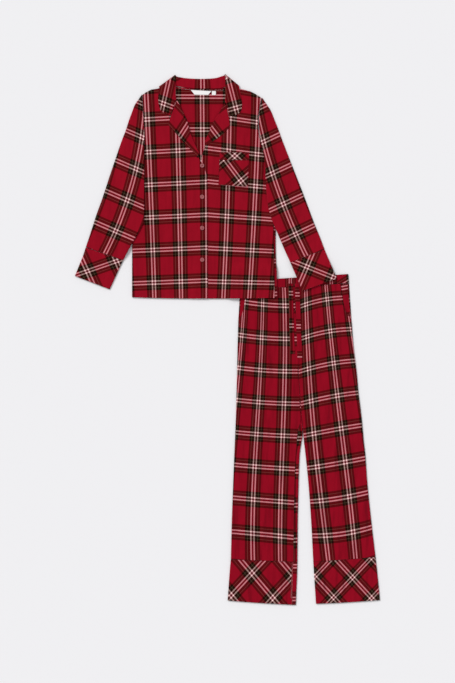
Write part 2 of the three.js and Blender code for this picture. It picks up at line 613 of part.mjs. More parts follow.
// buttons, moulded with four holes
const buttons = { cols: ['x', 'y'], rows: [[202.2, 165.6], [202.2, 196.9], [202.2, 228.0], [202.2, 259.8]] };
buttons.rows.forEach(([x, y], i) => {
  const round = (cx, cy, r, n) => count(n).map((k) => new THREE.Vector2(
    cx + r * Math.cos(2 * Math.PI * k / n), cy + r * Math.sin(2 * Math.PI * k / n)));
  const disc = new THREE.Shape(round(0, 0, BUTTON_D / 2 - 0.5, 14));
  for (const [hx, hy] of [[1.5, 1.5], [-1.5, 1.5], [-1.5, -1.5], [1.5, -1.5]]) {
    disc.holes.push(new THREE.Path(round(hx, hy, 0.85, 4).reverse()));
  }
  const geometry = new THREE.ExtrudeGeometry(disc, { depth: BUTTON_H - 1.0, bevelEnabled: true,
    bevelThickness: 0.5, bevelSize: 0.5, bevelOffset: 0, bevelSegments: 1 });
  const mesh = new THREE.Mesh(geometry, new THREE.MeshStandardMaterial({
    color: 0xb65d66, roughness: 0.35, metalness: 0 }));
  mesh.name = `button_${i + 1}`;
  const [mx, my] = plan(x, y);
  mesh.position.set(mx, my, TUBE + STEP + GAP + 0.5);
  parts.add(mesh);
});

// TROUSERS

const gathers = (x, y) => {
  const fade = 1 - soft((y - along([[240, 289], [349, 282]], x)) / 26);
  const phase = (x - 239) / 4.9 + 0.35 * Math.sin((x - 239) / 9.3);
  return GATHER * fade * (0.5 - 0.5 * Math.cos(2 * Math.PI * phase));
};
// legs: a is the viewer's left edge of each leg, b the right one
const legRight = {
  cols: ['ax', 'ay', 'bx', 'by'],
  rows: [
    [239.7, 290.3, 294.4, 286.8],
    [239.4, 300.0, 294.9, 298.0],
    [238.8, 312.0, 295.6, 311.0],
    [238.3, 320.0, 296.2, 320.0],
    [237.6, 345.0, 297.4, 345.0],
    [237.0, 370.0, 298.6, 370.0],
    [236.4, 394.0, 300.0, 394.0],
    [236.2, 400.0, 300.4, 400.0],
    [235.8, 418.0, 301.8, 418.0],
    [235.2, 433.0, 302.75, 433.0],
    [234.8, 442.0, 301.4, 442.4],
    [234.2, 456.0, 299.6, 456.6],
    [233.1, 484.0, 298.6, 485.4],
    [231.8, 520.0, 297.8, 522.0],
    [230.8, 559.4, 297.4, 562.0],
  ],
};
const legLeft = {
  cols: ['ax', 'ay', 'bx', 'by'],
  rows: [
    [294.4, 286.8, 349.1, 283.1],
    [294.9, 298.0, 350.0, 297.0],
    [295.6, 311.0, 350.9, 310.0],
    [296.2, 320.0, 351.5, 319.0],
    [297.4, 345.0, 353.4, 344.0],
    [298.6, 370.0, 356.4, 369.0],
    [300.0, 394.0, 358.6, 393.0],
    [300.4, 400.0, 359.4, 399.0],
    [301.8, 418.0, 361.6, 417.0],
    [303.1, 433.0, 363.0, 432.0],
    [304.0, 442.4, 363.9, 442.0],
    [305.7, 456.6, 365.5, 456.0],
    [308.6, 485.4, 367.5, 484.0],
    [311.2, 522.0, 371.2, 520.0],
    [313.3, 562.0, 375.6, 557.2],
  ],
};
const CROTCH_TOP = 6, CROTCH_OPEN = 7;       // rows where the inseam starts
const POCKET_END = 2.6;                      // row where the slanted pocket ends
// how far the slanted pocket's edge lies in from each side, plan units
const POCKET_IN = { cols: ['a', 'b'], rows: [[6.4, 8.4], [5.6, 7.6], [3.9, 5.6], [1.6, 2.6]] };
const legRows = [0, 0.6, 1.3, 2, 2.6, 3.2, 4, 5, 6, 7, 8, 9, 9.6, 10.4, 12, 14];
const trouserOptions = { puff: gathers };
const lenOf = (row) => Math.hypot((row.bx - row.ax) * UNIT, (row.by - row.ay) * UNIT)
  - 2 * FOLD - WALL;
const innerOpen = (v) => soft((v - CROTCH_TOP) / (CROTCH_OPEN - CROTCH_TOP));
// how far the back comes round to the front at the inseam, plan units
const inseamIn = (v) => 0.9 + 4.2 * soft((v - 8) / 0.95) - 1.2 * soft((v - 9.3) / 1.5);
const dense = spread(0.02, 0.98, 32);

function trouserFront(name, table, outer) {
  const knots = (v) => {
    const row = rowAt(table, v), len = lenOf(row);
    const end = (FOLD + WALL / 2 - SEAM) / len;
    const pocket = 1 - soft((v - POCKET_END) / 0.6);
    const inPocket = (column(POCKET_IN, outer, Math.min(3, v)) * UNIT - FOLD - WALL / 2) / len;
    // side with the pocket
    const side = [175, 130, 90].map((turn, i) => [
      mix(0, inPocket + i * 0.004, pocket), mix(turn, 90, pocket)]);
    // centre front, then the inseam
    const wraps = outer === 'a';
    const centre = [0, 1, 2].map((i) => {
      const flatShare = 1 + end - 0.004 * (2 - i);
      if (wraps) {
        const inset = (inseamIn(v) * UNIT - FOLD - WALL / 2) / len;
        return [mix(flatShare, 1 - inset - 0.3 / len - 0.004 * (2 - i), innerOpen(v)), 90];
      }
      return [mix(flatShare, 1, innerOpen(v)), mix(90, [90, 50, 5][i], innerOpen(v))];
    });
    const s0 = side[2][0], s1 = centre[0][0];
    const list = [...side, ...dense.map((t) => [mix(s0, s1, t), 90]), ...centre];
    return outer === 'a' ? list : list.map(([s, t]) => [1 - s, 180 - t]).reverse();
  };
  const n = 3 + dense.length + 3;
  const coarse = count(n).filter((i) => i < 3 || i >= n - 3 || (i - 3) % 6 === 4);
  const middle = count(n).filter((i) => i < 3 || i >= n - 3 || (i - 3) % 2 === 0);
  ringPanel(name, table, legRows, knots, trouserOptions,
    (v) => (v < 1.6 ? count(n) : v < 2.1 ? middle : coarse));
}
trouserFront('trouser_front_right', legRight, 'a');
trouserFront('trouser_front_left', legLeft, 'b');

function trouserBack(name, table, outer) {
  const flats = spread(0.1, 0.9, 5);
  const knots = (v) => {
    const row = rowAt(table, v), len = lenOf(row);
    const end = (FOLD + WALL / 2 - SEAM) / len;
    const open = innerOpen(v);
    const side = [[0, -175], [0, -130], [0, -90]];
    const wraps = outer === 'a';
    const turns = wraps ? [-90, -45, 0, 45, 90, 90] : [-90, -45, -5];
    const strip = (inseamIn(v) * UNIT - FOLD - WALL / 2) / len;
    const inner = turns.map((turn, i) => {
      const flatShare = 1 + end - 0.01 * (turns.length - 1 - i);
      const full = wraps && i === turns.length - 1 ? 1 - Math.max(strip, 0.2 / len) : 1;
      return [mix(flatShare, full, open), mix(-90, turn, open)];
    });
    const list = [...side, ...flats.map((f) => [f, -90]), ...inner];
    return outer === 'a' ? list : list.map(([s, t]) => [1 - s, 180 - t]).reverse();
  };
  ringPanel(name, table, legRows, knots, {});
}
trouserBack('trouser_back_right', legRight, 'a');
trouserBack('trouser_back_left', legLeft, 'b');

// waistband casing, gathered on its elastic
const waistband = {
  cols: ['ax', 'ay', 'bx', 'by'],
  rows: [
    [240.2, 281.2, 348.3, 274.0],
    [240.0, 285.9, 348.7, 278.8],
    [239.7, 290.2, 349.1, 283.0],
  ],
};
ringTube('waistband', waistband, [0, 1, 2], spread(0, 1, 66), spread(0, 1, 6), { puff: gathers });

// slanted pockets: plain facing that shows between the front's edge and the side
function facing(name, corners) {
  patch(name, corners, () => 2.45, 1.2, 2, 4);
}
facing('pocket_facing_right', [[240.9, 291.0], [249.4, 290.6], [244.6, 317.2], [239.5, 317.6]]);
facing('pocket_facing_left', [[337.6, 284.7], [347.8, 284.0], [350.3, 315.8], [344.6, 316.3]]);

// hem bands
const hemRight = {
  cols: ['ax', 'ay', 'bx', 'by', 'bow'],
  rows: [
    [230.8, 559.5, 297.4, 562.1, 0],
    [229.6, 573.0, 297.0, 576.5, 0],
    [228.6, 587.0, 296.4, 591.0, 0.2],
    [227.6, 600.6, 295.9, 605.0, 0.4],
  ],
};
const hemLeft = {
  cols: ['ax', 'ay', 'bx', 'by', 'bow'],
  rows: [
    [313.3, 562.1, 375.6, 557.3, 0],
    [314.2, 576.0, 377.2, 571.6, 0],
    [315.1, 590.0, 378.7, 586.0, 0.2],
    [316.0, 603.9, 380.0, 600.1, 0.4],
  ],
};
ringTube('hem_band_right', hemRight, [0, 1, 2, 3], spread(0, 1, 5), spread(0, 1, 3));
ringTube('hem_band_left', hemLeft, [0, 1, 2, 3], spread(0, 1, 5), spread(0, 1, 3));

// tie ends: flat strips of the same cloth from the middle of the waist
function tie(name, table) {
  const S = (u, v) => {
    const row = rowAt(table, v);
    const x = mix(row.ax, row.bx, u), y = mix(row.ay, row.by, u);
    return [...plan(x, y), TUBE + GATHER + 0.3 + TIE_T / 2
      - GATHER * soft((y - 312) / 14)];
  };
  cloth(name, S, spread(0, table.rows.length - 1, 10), () => [0, 0.5, 1], { wall: TIE_T });
}
tie('tie_right', {
  cols: ['ax', 'ay', 'bx', 'by'],
  rows: [[288.6, 283.6, 292.9, 283.4], [288.9, 300.0, 293.3, 300.0], [289.3, 326.0, 293.9, 326.0],
    [290.4, 354.0, 295.1, 353.6]],
});
tie('tie_left', {
  cols: ['ax', 'ay', 'bx', 'by'],
  rows: [[294.8, 283.4, 299.0, 283.2], [295.4, 300.0, 300.0, 300.0], [296.3, 326.0, 301.0, 326.0],
    [297.4, 358.0, 302.2, 357.6]],
});

export default parts;
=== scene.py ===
"""Tartan pyjama set laid flat: a button-front shirt partly over long wide trousers.

Plan sizes are in units of 3.1 mm, x to the right and y down the garment, as in the part's own
tables. Heights are in millimetres until a mesh is made, and meshes are in metres.
"""
import math

import bmesh
import bpy
import numpy as np
from bpy.props import FloatProperty, FloatVectorProperty, PointerProperty
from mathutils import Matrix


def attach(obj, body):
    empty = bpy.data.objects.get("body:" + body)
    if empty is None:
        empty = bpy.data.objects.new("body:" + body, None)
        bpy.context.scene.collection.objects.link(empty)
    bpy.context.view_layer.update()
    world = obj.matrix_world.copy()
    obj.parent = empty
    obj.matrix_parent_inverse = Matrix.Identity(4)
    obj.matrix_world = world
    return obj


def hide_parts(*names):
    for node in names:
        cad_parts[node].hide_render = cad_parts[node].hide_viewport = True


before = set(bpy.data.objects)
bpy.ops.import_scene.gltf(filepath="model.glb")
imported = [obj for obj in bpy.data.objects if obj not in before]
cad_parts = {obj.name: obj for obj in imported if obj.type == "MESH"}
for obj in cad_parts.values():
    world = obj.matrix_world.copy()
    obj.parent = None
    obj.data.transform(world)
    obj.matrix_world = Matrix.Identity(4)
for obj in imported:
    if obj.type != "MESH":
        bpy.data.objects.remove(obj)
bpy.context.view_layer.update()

bl_info = {
    "name": "Tartan pyjama set",
    "version": (1, 0, 0),
    "blender": (4, 5, 0),
    "location": "View3D > Sidebar > Pyjamas",
    "description": "Cloth, seams, stitching and buttons of a pyjama set laid flat",
    "category": "Object",
}

UNIT, MID_X, MID_Y = 3.1, 227.4, 340.39
WALL, GAP, SEAM, FOLD = 1.4, 0.35, 0.15, 1.9
TUBE = 2 * FOLD + WALL
STEP = WALL + GAP
GATHER = 1.0
OVER_BODY = TUBE + 0.4
OVER_WAIST = TUBE + GATHER + 0.45
TIE_T, LABEL_T = 1.6, 1.0
ROLL_R = STEP / 2
ROLL_IN = ROLL_R + WALL / 2 + 0.3
ON_FRONT = TUBE + GAP + WALL / 2
SEAM_DROP, SEAM_FADE = 0.35, 1.5
RIM = 0.3
REPEATS_CM = (8.74, 10.14)
BUTTON_X, BUTTON_ROWS = 202.2, (165.6, 196.9, 228.0, 259.8)
HOLE_AT, HOLE_R, BUTTON_WEB = 1.35, 0.72, 1.15
PHOTO_MID, PHOTO_ROWS, CAMERA_HEIGHT = (227.5, 341.5), 683, 6.0


# SMALL SUMS ON WHOLE ARRAYS

def clamp(t):
    return np.clip(t, 0.0, 1.0)


def soft(t):
    """Smooth step: 3t^2 - 2t^3 between 0 and 1."""
    c = clamp(t)
    return c * c * (3 - 2 * c)


def mix(a, b, t):
    return a + (b - a) * t


def plan(x, y):
    """Plan units to millimetres."""
    return (x - MID_X) * UNIT, (MID_Y - y) * UNIT


def plan_x(mm):
    return mm / UNIT + MID_X


def plan_y(mm):
    return MID_Y - mm / UNIT


def along(pairs, x):
    """Straight interpolation over a list of (x, y) pairs."""
    pairs = np.array(pairs, float)
    return np.interp(x, pairs[:, 0], pairs[:, 1])


def flat(x, y):
    return np.zeros_like(x)


class Table:
    """Columns of plan sizes, read at any row number: a cubic through the rows whose slope at
    a row is half the step between its neighbours."""

    def __init__(self, cols, rows):
        self.data = {n: np.array([r[k] for r in rows], float) for k, n in enumerate(cols.split())}
        self.last = len(rows) - 1

    def __call__(self, name, v):
        v = np.asarray(v, float)
        if name not in self.data:
            return np.zeros_like(v)
        c, last = self.data[name], self.last
        i = np.clip(np.floor(v).astype(int), 0, last - 1)
        t = v - i
        m0 = np.where(i > 0, (c[i + 1] - c[np.maximum(i - 1, 0)]) / 2, c[1] - c[0])
        m1 = np.where(i < last - 1, (c[np.minimum(i + 2, last)] - c[i]) / 2, c[last] - c[last - 1])
        t2, t3 = t * t, t * t * t
        return ((2 * t3 - 3 * t2 + 1) * c[i] + (t3 - 2 * t2 + t) * m0
                + (3 * t2 - 2 * t3) * c[i + 1] + (t3 - t2) * m1)


def grain(rows, terms=4):
    """Where a point of the laid-out cloth lies in the tartan, in repeats: least squares of
    (warp, weft) on 1, x, y, xy, y^2, xy^2, y^3, x^2, x^2y through the crossings
    (warp, weft, x, y)."""
    rows = np.array(rows, float)

    def basis(x, y):
        x, y = (x - MID_X) / 100, (y - MID_Y) / 100
        return np.stack([np.ones_like(x), x, y, x * y, y * y, x * y * y, y ** 3,
                         x * x, x * x * y][:terms], -1)

    fit = np.linalg.lstsq(basis(rows[:, 2], rows[:, 3]), rows[:, :2], rcond=None)[0]
    return lambda x, y: basis(x, y) @ fit


def grain_at(x0, y0, warp, weft):
    """Straight tartan: a crossing at (x0, y0), and the steps to the next warp and weft pair."""
    back = np.linalg.inv(np.array([warp, weft], float).T)
    return lambda x, y: np.stack([x - x0, y - y0], -1) @ back.T


def creases(rows):
    """Soft ridges and troughs, listed one by one: each (x0, y0, x1, y1, width, height, bend) is a
    bell across its line, faded at both ends."""
    def relief(x, y):
        total = np.zeros_like(x, dtype=float)
        for x0, y0, x1, y1, width, height, bend in rows:
            lx, ly = x1 - x0, y1 - y0
            length = math.hypot(lx, ly)
            t = ((x - x0) * lx + (y - y0) * ly) / length ** 2
            off = ((x - x0) * ly - (y - y0) * lx) / length - bend * 4 * t * (1 - t)
            total += height * np.exp(-(off / width) ** 2) * soft(t / 0.3) * soft((1 - t) / 0.3)
        return total
    return relief


# THE CLOTH LAID ON ITS FORM

def knot_at(knots, us):
    """Shares and turns between knots, straight from one knot to the next: rows by stations."""
    shares = np.stack([np.broadcast_to(k[0], knots[0][0].shape) for k in knots])
    turns = np.stack([np.broadcast_to(k[1], knots[0][0].shape) for k in knots])
    i = np.clip(np.floor(us).astype(int), 0, len(knots) - 2)
    t = (us - i)[:, None]
    return (mix(shares[i], shares[i + 1], t).T, mix(turns[i], turns[i + 1], t).T)


def ring(table, v, share, turn, lift=flat, puff=flat, under=flat, base="top"):
    """A point of a flattened tube between the row's plan points a and b, and where it lies
    when the tube is unrolled: a straight run of cloth with half circles of radius FOLD at both
    sides (turn 90 on top, -90 below). puff raises the top layer and under the lower one."""
    col = lambda name: table(name, v)[:, None]
    ax, ay = plan(col("ax"), col("ay"))
    bx, by = plan(col("bx"), col("by"))
    span = np.hypot(bx - ax, by - ay)
    dx, dy = (bx - ax) / span, (by - ay) / span
    edge = FOLD + WALL / 2
    run = span - 2 * edge
    angle = np.radians(turn)
    s = edge + run * share + FOLD * np.cos(angle)
    bow = col("bow") * UNIT * 4 * clamp(s / span) * (1 - clamp(s / span))
    x, y = ax + dx * s + dy * bow, ay + dy * s - dx * bow
    top = (1 + np.sin(angle)) / 2
    px, py = plan_x(x), plan_y(y)
    z = (WALL / 2 + FOLD + FOLD * np.sin(angle) + lift(px, py)
         + top * puff(px, py) + (1 - top) * under(px, py))
    start = 90 if base == "top" else -90
    sign = -1 if base == "top" else 1
    w = clamp(sign * (turn - start) / 180)
    wa = clamp(-sign * (turn - start) / 180)
    far = edge + run * (share + 2 * (1 - share) * (w > 0.999)) + math.pi * FOLD * w
    near = edge + run * (share - 2 * share * (wa > 0.999)) - math.pi * FOLD * wa
    side_b = turn <= start if base == "top" else turn >= start
    su = np.where(side_b, far, near)
    ux, uy = ax + dx * su + dy * bow, ay + dy * su - dx * bow
    return np.stack([x, y, z], -1), np.stack([plan_x(ux), plan_y(uy)], -1)


def run_of(table, v):
    return (np.hypot((table("bx", v) - table("ax", v)) * UNIT,
                     (table("by", v) - table("ay", v)) * UNIT) - 2 * FOLD - WALL)


def stations(surface, us, vs, step, fine):
    """Parameters dense enough for the form: no further apart than step (one size, or one along
    u and one along v), and closer where the cloth bends; fine adds two close to each open end."""
    def refine(knots, length, bend, step, ends):
        out = [knots[0]]
        for k, (a, b) in enumerate(zip(knots[:-1], knots[1:])):
            n = max(1, math.ceil(length[k] / step), math.ceil(math.sqrt(bend[k] / 0.06)))
            out += [a + (b - a) * (i + 1) / n for i in range(n)]
        out = np.array(out)
        if ends:
            first = (knots[1] - knots[0]) / max(length[0], 1e-6)
            last = (knots[-1] - knots[-2]) / max(length[-1], 1e-6)
            extra = [knots[0] + 0.7 * first, knots[0] + 1.8 * first,
                     knots[-1] - 0.7 * last, knots[-1] - 1.8 * last]
            out = np.unique(np.concatenate([out, extra]))
            out = out[np.concatenate([[True], np.diff(out) > 1e-6])]
        return out
    us, vs = np.array(us, float), np.array(vs, float)
    step_u, step_v = np.broadcast_to(step, 2)
    p = surface(us, vs)[0]
    mu, mv = (us[1:] + us[:-1]) / 2, (vs[1:] + vs[:-1]) / 2
    du, dv = np.diff(p, axis=1), np.diff(p, axis=0)
    bend_u = np.linalg.norm(surface(mu, vs)[0] - (p[:, 1:] + p[:, :-1]) / 2, axis=-1).max(0)
    bend_v = np.linalg.norm(surface(us, mv)[0] - (p[1:] + p[:-1]) / 2, axis=-1).max(1)
    return (refine(us, np.linalg.norm(du, axis=-1).max(0), bend_u, step_u, fine[0]),
            refine(vs, np.linalg.norm(dv, axis=-1).max(1), bend_v, step_v, fine[1]))


def make_mesh(name, points, faces, layers, material):
    """A smooth mesh in metres, turned outwards by the sign of its volume."""
    points = points / 1000.0
    a, b, c, d = (points[faces[:, k]] for k in range(4))
    volume = (np.einsum("ij,ij->i", a, np.cross(b, c)) + np.einsum("ij,ij->i", a, np.cross(c, d))).sum()
    if volume < 0:
        faces = faces[:, ::-1]
        layers = {k: uv[:, ::-1] for k, uv in layers.items()}
    mesh = bpy.data.meshes.new(name)
    mesh.from_pydata(points, [], faces.tolist())
    for key, uv in layers.items():
        mesh.uv_layers.new(name=key).data.foreach_set("uv", uv.reshape(-1))
    mesh.shade_smooth()
    mesh.materials.append(material)
    mesh.update()
    obj = bpy.data.objects.new(name, mesh)
    bpy.context.scene.collection.objects.link(obj)
    return obj


def cloth(name, surface, us, vs, weave, material, wall=1.3, closed=False, step=5.0, sink=""):
    """A thin closed shell on the middle surface: the surface moved half a wall each way along
    its normal, with a rounded rim. sink names the edges (l r of u, s e of v) that are drawn
    down into a seam, SEAM_DROP deep and dying out over SEAM_FADE. The tartan follows the
    unrolled cloth, and the fine threads follow the same grain in centimetres."""
    us, vs = stations(surface, us, vs, step, (not closed, True))
    mid, laid = surface(us, vs)
    nv, nu = mid.shape[:2]
    gap_u = np.linalg.norm(np.diff(mid, axis=1), axis=-1)
    gap_v = np.linalg.norm(np.diff(mid, axis=0), axis=-1)
    from_l = np.concatenate([np.zeros((nv, 1)), np.cumsum(gap_u, 1)], 1)
    from_s = np.concatenate([np.zeros((1, nu)), np.cumsum(gap_v, 0)], 0)
    edge = {"l": from_l, "r": from_l[:, -1:] - from_l, "s": from_s, "e": from_s[-1:] - from_s}
    if closed:
        before, after = np.roll(mid[:, :-1], 1, 1), np.roll(mid[:, :-1], -1, 1)
        du = after - before
        du = np.concatenate([du, du[:, :1]], 1)
    else:
        du = np.gradient(mid, axis=1)
    dv = np.gradient(mid, axis=0)
    normal = np.cross(du, dv)
    normal /= np.maximum(np.linalg.norm(normal, axis=-1, keepdims=True), 1e-9)
    for key in sink:
        facing = np.sign(normal[..., 2]) * np.where(mid[..., 2] > WALL / 2 + FOLD * 0.9, 1, 0)
        mid[..., 2] -= SEAM_DROP * np.abs(facing) * np.exp(-edge[key] / SEAM_FADE)
    tangent = lambda a: a / np.maximum(np.linalg.norm(a, axis=-1, keepdims=True), 1e-9)
    sides = []
    for sign in (1, -1):
        p = mid + sign * normal * wall / 2
        inset = RIM * wall
        if not closed:
            p[:, 0] += tangent(mid[:, 1] - mid[:, 0]) * inset
            p[:, -1] += tangent(mid[:, -2] - mid[:, -1]) * inset
        p[0] += tangent(mid[1] - mid[0]) * inset
        p[-1] += tangent(mid[-2] - mid[-1]) * inset
        sides.append(p.reshape(-1, 3))
    ids = np.arange(nv * nu).reshape(nv, nu)
    quads = lambda g: np.stack([g[:-1, :-1], g[:-1, 1:], g[1:, 1:], g[1:, :-1]], -1).reshape(-1, 4)
    n = nv * nu
    faces = [quads(ids), quads(ids)[:, ::-1] + n]
    if closed:
        loops = [ids[0][::-1], ids[-1]]
    else:
        loops = [np.concatenate([ids[-1], ids[::-1][1:, -1], ids[0][::-1][1:], ids[1:, 0]])]
    rims = []
    for loop in loops:
        upper, rim, lower = loop, loop + 2 * n, loop + n
        for a, b in ((upper, rim), (rim, lower)):
            rims.append(np.stack([a[1:], a[:-1], b[:-1], b[1:]], -1))
    faces = np.concatenate(faces + rims)
    points = np.concatenate(sides + [mid.reshape(-1, 3)])
    sett = np.tile(weave(*np.moveaxis(laid, -1, 0)).reshape(-1, 2), (3, 1))
    layers = {"tartan": sett[faces], "thread": (sett * REPEATS_CM)[faces]}
    if closed:
        twin = np.arange(3 * n).reshape(3, nv, nu).copy()
        twin[..., -1] = twin[..., 0]
        faces = twin.reshape(-1)[faces]
    used, faces = np.unique(faces, return_inverse=True)
    return make_mesh(name, points[used], faces.reshape(-1, 4), layers, material)


def panel(table, knots, **options):
    """Part of a flattened tube whose stations are knots(v), a list of shares and turns."""
    def surface(us, vs):
        share, turn = knot_at(knots(vs), us)
        return ring(table, vs, share, turn, **options)
    return surface


def tube(table, **options):
    """A whole flattened tube, opened under its a side."""
    def knots(v):
        o = np.ones_like(v)
        return [(0 * o, 270 * o), (0 * o, 180 * o), (0 * o, 90 * o), (o, 90 * o), (o, 0 * o),
                (o, -90 * o), (0.001 * o, -90 * o)]
    return panel(table, knots, **options)


def side_knots(v, table, on, turns):
    """A tube's a side: a full fold where on is 1, a straight end at the seam where it is 0."""
    end = (FOLD + WALL / 2 - SEAM) / run_of(table, v)
    n = len(turns)
    return [(mix(-end * (1 - i / n), 0, on), mix(turns[-1], turn, on))
            for i, turn in enumerate(turns)]


# SHIRT TABLES AND FORMS

RIGHT_SEAM = [(mix(142.3, 144.5, f), mix(95.0, 133, f)) for f in (1, 0.7, 0.4, 0.12)]
LEFT_SEAM = [(mix(261.6, 259.4, f) - 2.1 * 4 * f * (1 - f), mix(97.6, 137, f))
             for f in (1, 0.7, 0.4, 0.12)]
BODY = Table("ax ay bx by bow", [
    (132.0, 297.2, 277.2, 297.7, 0.9), (132.0, 284.0, 277.0, 284.0, 0.8),
    (132.0, 270.0, 276.8, 270.0, 0.4), (132.0, 262.0, 276.2, 262.0, 0.2),
    (132.0, 246.0, 275.7, 246.0, 0), (132.0, 225.0, 275.5, 225.0, 0),
    (132.2, 205.0, 275.3, 205.0, 0), (133.2, 190.0, 274.4, 190.0, 0),
    (136.5, 178.0, 271.5, 178.0, 0), (141.0, 168.0, 267.4, 168.0, 0),
    (143.9, 157.0, 264.5, 157.0, 0), (144.35, 146.0, 262.1, 148.0, 0)]
    + [(*RIGHT_SEAM[k], *LEFT_SEAM[k], 0) for k in range(4)])
BODY_LEFT_EDGE = [(95, 142.3), (133, 144.5), (157, 144.9), (168, 141), (178, 136.5),
                  (190, 133.2), (205, 132.2), (298, 132)]
BODY_RIGHT_EDGE = [(97, 261.5), (117, 258.4), (137, 259.4), (148, 261.6), (157, 263.9),
                   (168, 267.4), (178, 271.5), (190, 274.4), (205, 275.3), (246, 275.7),
                   (298, 277.2)]
BACK_TOP = [(142.3, 95.6), (146.1, 92.9), (151.4, 90.1), (158.9, 88.8), (164, 86.0),
            (168.2, 84.4), (172.5, 85.6), (177.3, 86.6), (183.7, 88.1), (194, 89.0),
            (205, 89.3), (214, 89.3), (225.5, 88.8), (228.2, 87.4), (231.4, 86.0),
            (234.6, 86.9), (238.4, 88.8), (244, 90.1), (250, 91.9), (255, 94.4), (261.4, 98.4)]
FRONT_RIGHT = Table("ax ay bx by bow", [
    (132.0, 297.2, 208.0, 298.5, 0.5), (132.0, 284.0, 208.0, 284.6, 0.4),
    (132.0, 270.0, 208.0, 270.2, 0.2), (132.0, 262.0, 208.0, 262.0, 0),
    (132.0, 246.0, 208.0, 246.0, 0), (132.0, 225.0, 208.0, 225.0, 0),
    (132.2, 205.0, 208.0, 205.0, 0), (133.2, 190.0, 207.8, 190.0, 0),
    (136.5, 178.0, 207.0, 178.0, 0), (141.0, 168.0, 204.6, 168.0, 0),
    (143.9, 157.0, 200.6, 160.6, 0), (144.35, 146.0, 196.2, 149.0, 0),
    (*RIGHT_SEAM[0], 190.9, 138.0, 0), (*RIGHT_SEAM[1], 187.2, 124.0, 0),
    (*RIGHT_SEAM[2], 181.2, 110.0, 0), (*RIGHT_SEAM[3], 175.0, 98.6, -0.3),
    (142.3, 96.2, 168.2, 84.5, -0.6)])
FRONT_LEFT = Table("ax ay bx by bow", [
    (196.0, 298.4, 274.6, 298.0, 0.3), (196.0, 284.6, 274.4, 284.0, 0.3),
    (196.0, 270.2, 274.2, 270.0, 0.1), (196.0, 262.0, 274.0, 262.0, 0),
    (196.0, 246.0, 273.8, 246.0, 0), (196.0, 225.0, 273.6, 225.0, 0),
    (196.0, 205.0, 273.4, 205.0, 0), (196.0, 190.0, 273.0, 190.0, 0),
    (196.6, 176.0, 270.9, 178.0, 0), (200.4, 167.0, 267.2, 168.0, 0),
    (201.8, 157.0, 264.5, 157.0, 0), (203.6, 149.4, 262.1, 148.0, 0),
    (207.6, 138.6, *LEFT_SEAM[0], 0), (213.0, 126.2, *LEFT_SEAM[1], 0),
    (220.2, 113.8, *LEFT_SEAM[2], 0), (226.4, 101.4, *LEFT_SEAM[3], 0),
    (231.4, 86.1, 261.4, 99.0, -1.3)])
SHOULDER = 16
LAPEL_RIGHT = Table("ax ay bx by", [
    (176.9, 100.3, 170.8, 116.0), (180.6, 106.5, 169.7, 119.8), (183.6, 113.0, 168.8, 124.8),
    (186.9, 120.5, 173.5, 130.6), (189.3, 128.5, 178.7, 136.4), (191.9, 137.0, 186.0, 145.2),
    (195.6, 145.6, 191.8, 150.2), (199.2, 153.2, 196.8, 156.9), (201.5, 159.4, 200.4, 160.9)])
LAPEL_LEFT = Table("ax ay bx by", [
    (225.0, 101.8, 228.8, 117.0), (222.4, 107.0, 229.3, 121.4), (219.4, 112.4, 229.5, 127.0),
    (216.0, 117.4, 226.0, 130.6), (213.0, 122.8, 221.6, 134.8), (210.4, 128.8, 216.2, 139.2),
    (207.7, 135.0, 210.6, 142.4), (205.1, 141.3, 206.3, 145.5), (203.2, 146.4, 203.4, 147.9)])
COLLAR = Table("rx ry nx ny fx fy turn", [
    (176.2, 99.6, 175.4, 100.3, 170.5, 115.3, 0), (175.8, 96.0, 174.2, 97.2, 164.8, 113.3, 0),
    (175.6, 92.0, 172.9, 93.6, 160.9, 110.6, 0), (175.6, 88.0, 171.6, 90.4, 158.8, 104.6, 0),
    (175.6, 84.0, 170.6, 87.3, 158.2, 98.0, 0), (175.6, 79.6, 169.8, 84.9, 158.8, 91.2, 0),
    (175.7, 77.0, 169.6, 83.8, 159.4, 88.2, 0), (175.7, 76.2, 169.4, 83.2, 159.5, 87.6, 45),
    (175.8, 75.5, 169.4, 82.8, 159.6, 87.3, 90), (176.0, 75.7, 169.8, 83.2, 160.0, 87.5, 135),
    (176.3, 76.0, 170.6, 83.6, 160.4, 88.1, 180), (177.0, 76.4, 173.0, 84.8, 161.8, 91.4, 180),
    (180.8, 77.2, 180.4, 86.4, 170.6, 96.6, 180), (187.2, 78.1, 187.4, 87.6, 184.0, 98.6, 180),
    (200.4, 78.7, 200.4, 88.3, 200.4, 99.4, 180), (213.8, 78.1, 213.6, 88.4, 217.0, 98.6, 180),
    (220.0, 76.6, 220.6, 87.9, 230.4, 96.2, 180), (223.6, 75.4, 227.0, 86.2, 238.0, 90.9, 180),
    (224.1, 75.3, 229.2, 84.9, 238.0, 87.6, 180), (224.4, 74.9, 229.8, 84.2, 238.3, 86.8, 135),
    (224.5, 74.7, 230.2, 83.8, 238.6, 86.6, 90), (224.8, 75.1, 230.2, 83.8, 238.9, 86.8, 45),
    (225.0, 76.0, 230.2, 84.4, 239.2, 87.6, 0), (225.3, 79.2, 230.0, 85.0, 240.2, 91.6, 0),
    (225.4, 84.0, 229.6, 87.3, 241.4, 99.0, 0), (225.4, 88.0, 228.8, 90.2, 242.0, 105.0, 0),
    (225.4, 92.4, 227.9, 93.6, 240.6, 111.4, 0), (225.3, 96.8, 226.8, 97.6, 236.0, 115.0, 0),
    (225.1, 100.7, 225.9, 101.1, 229.2, 116.4, 0)])
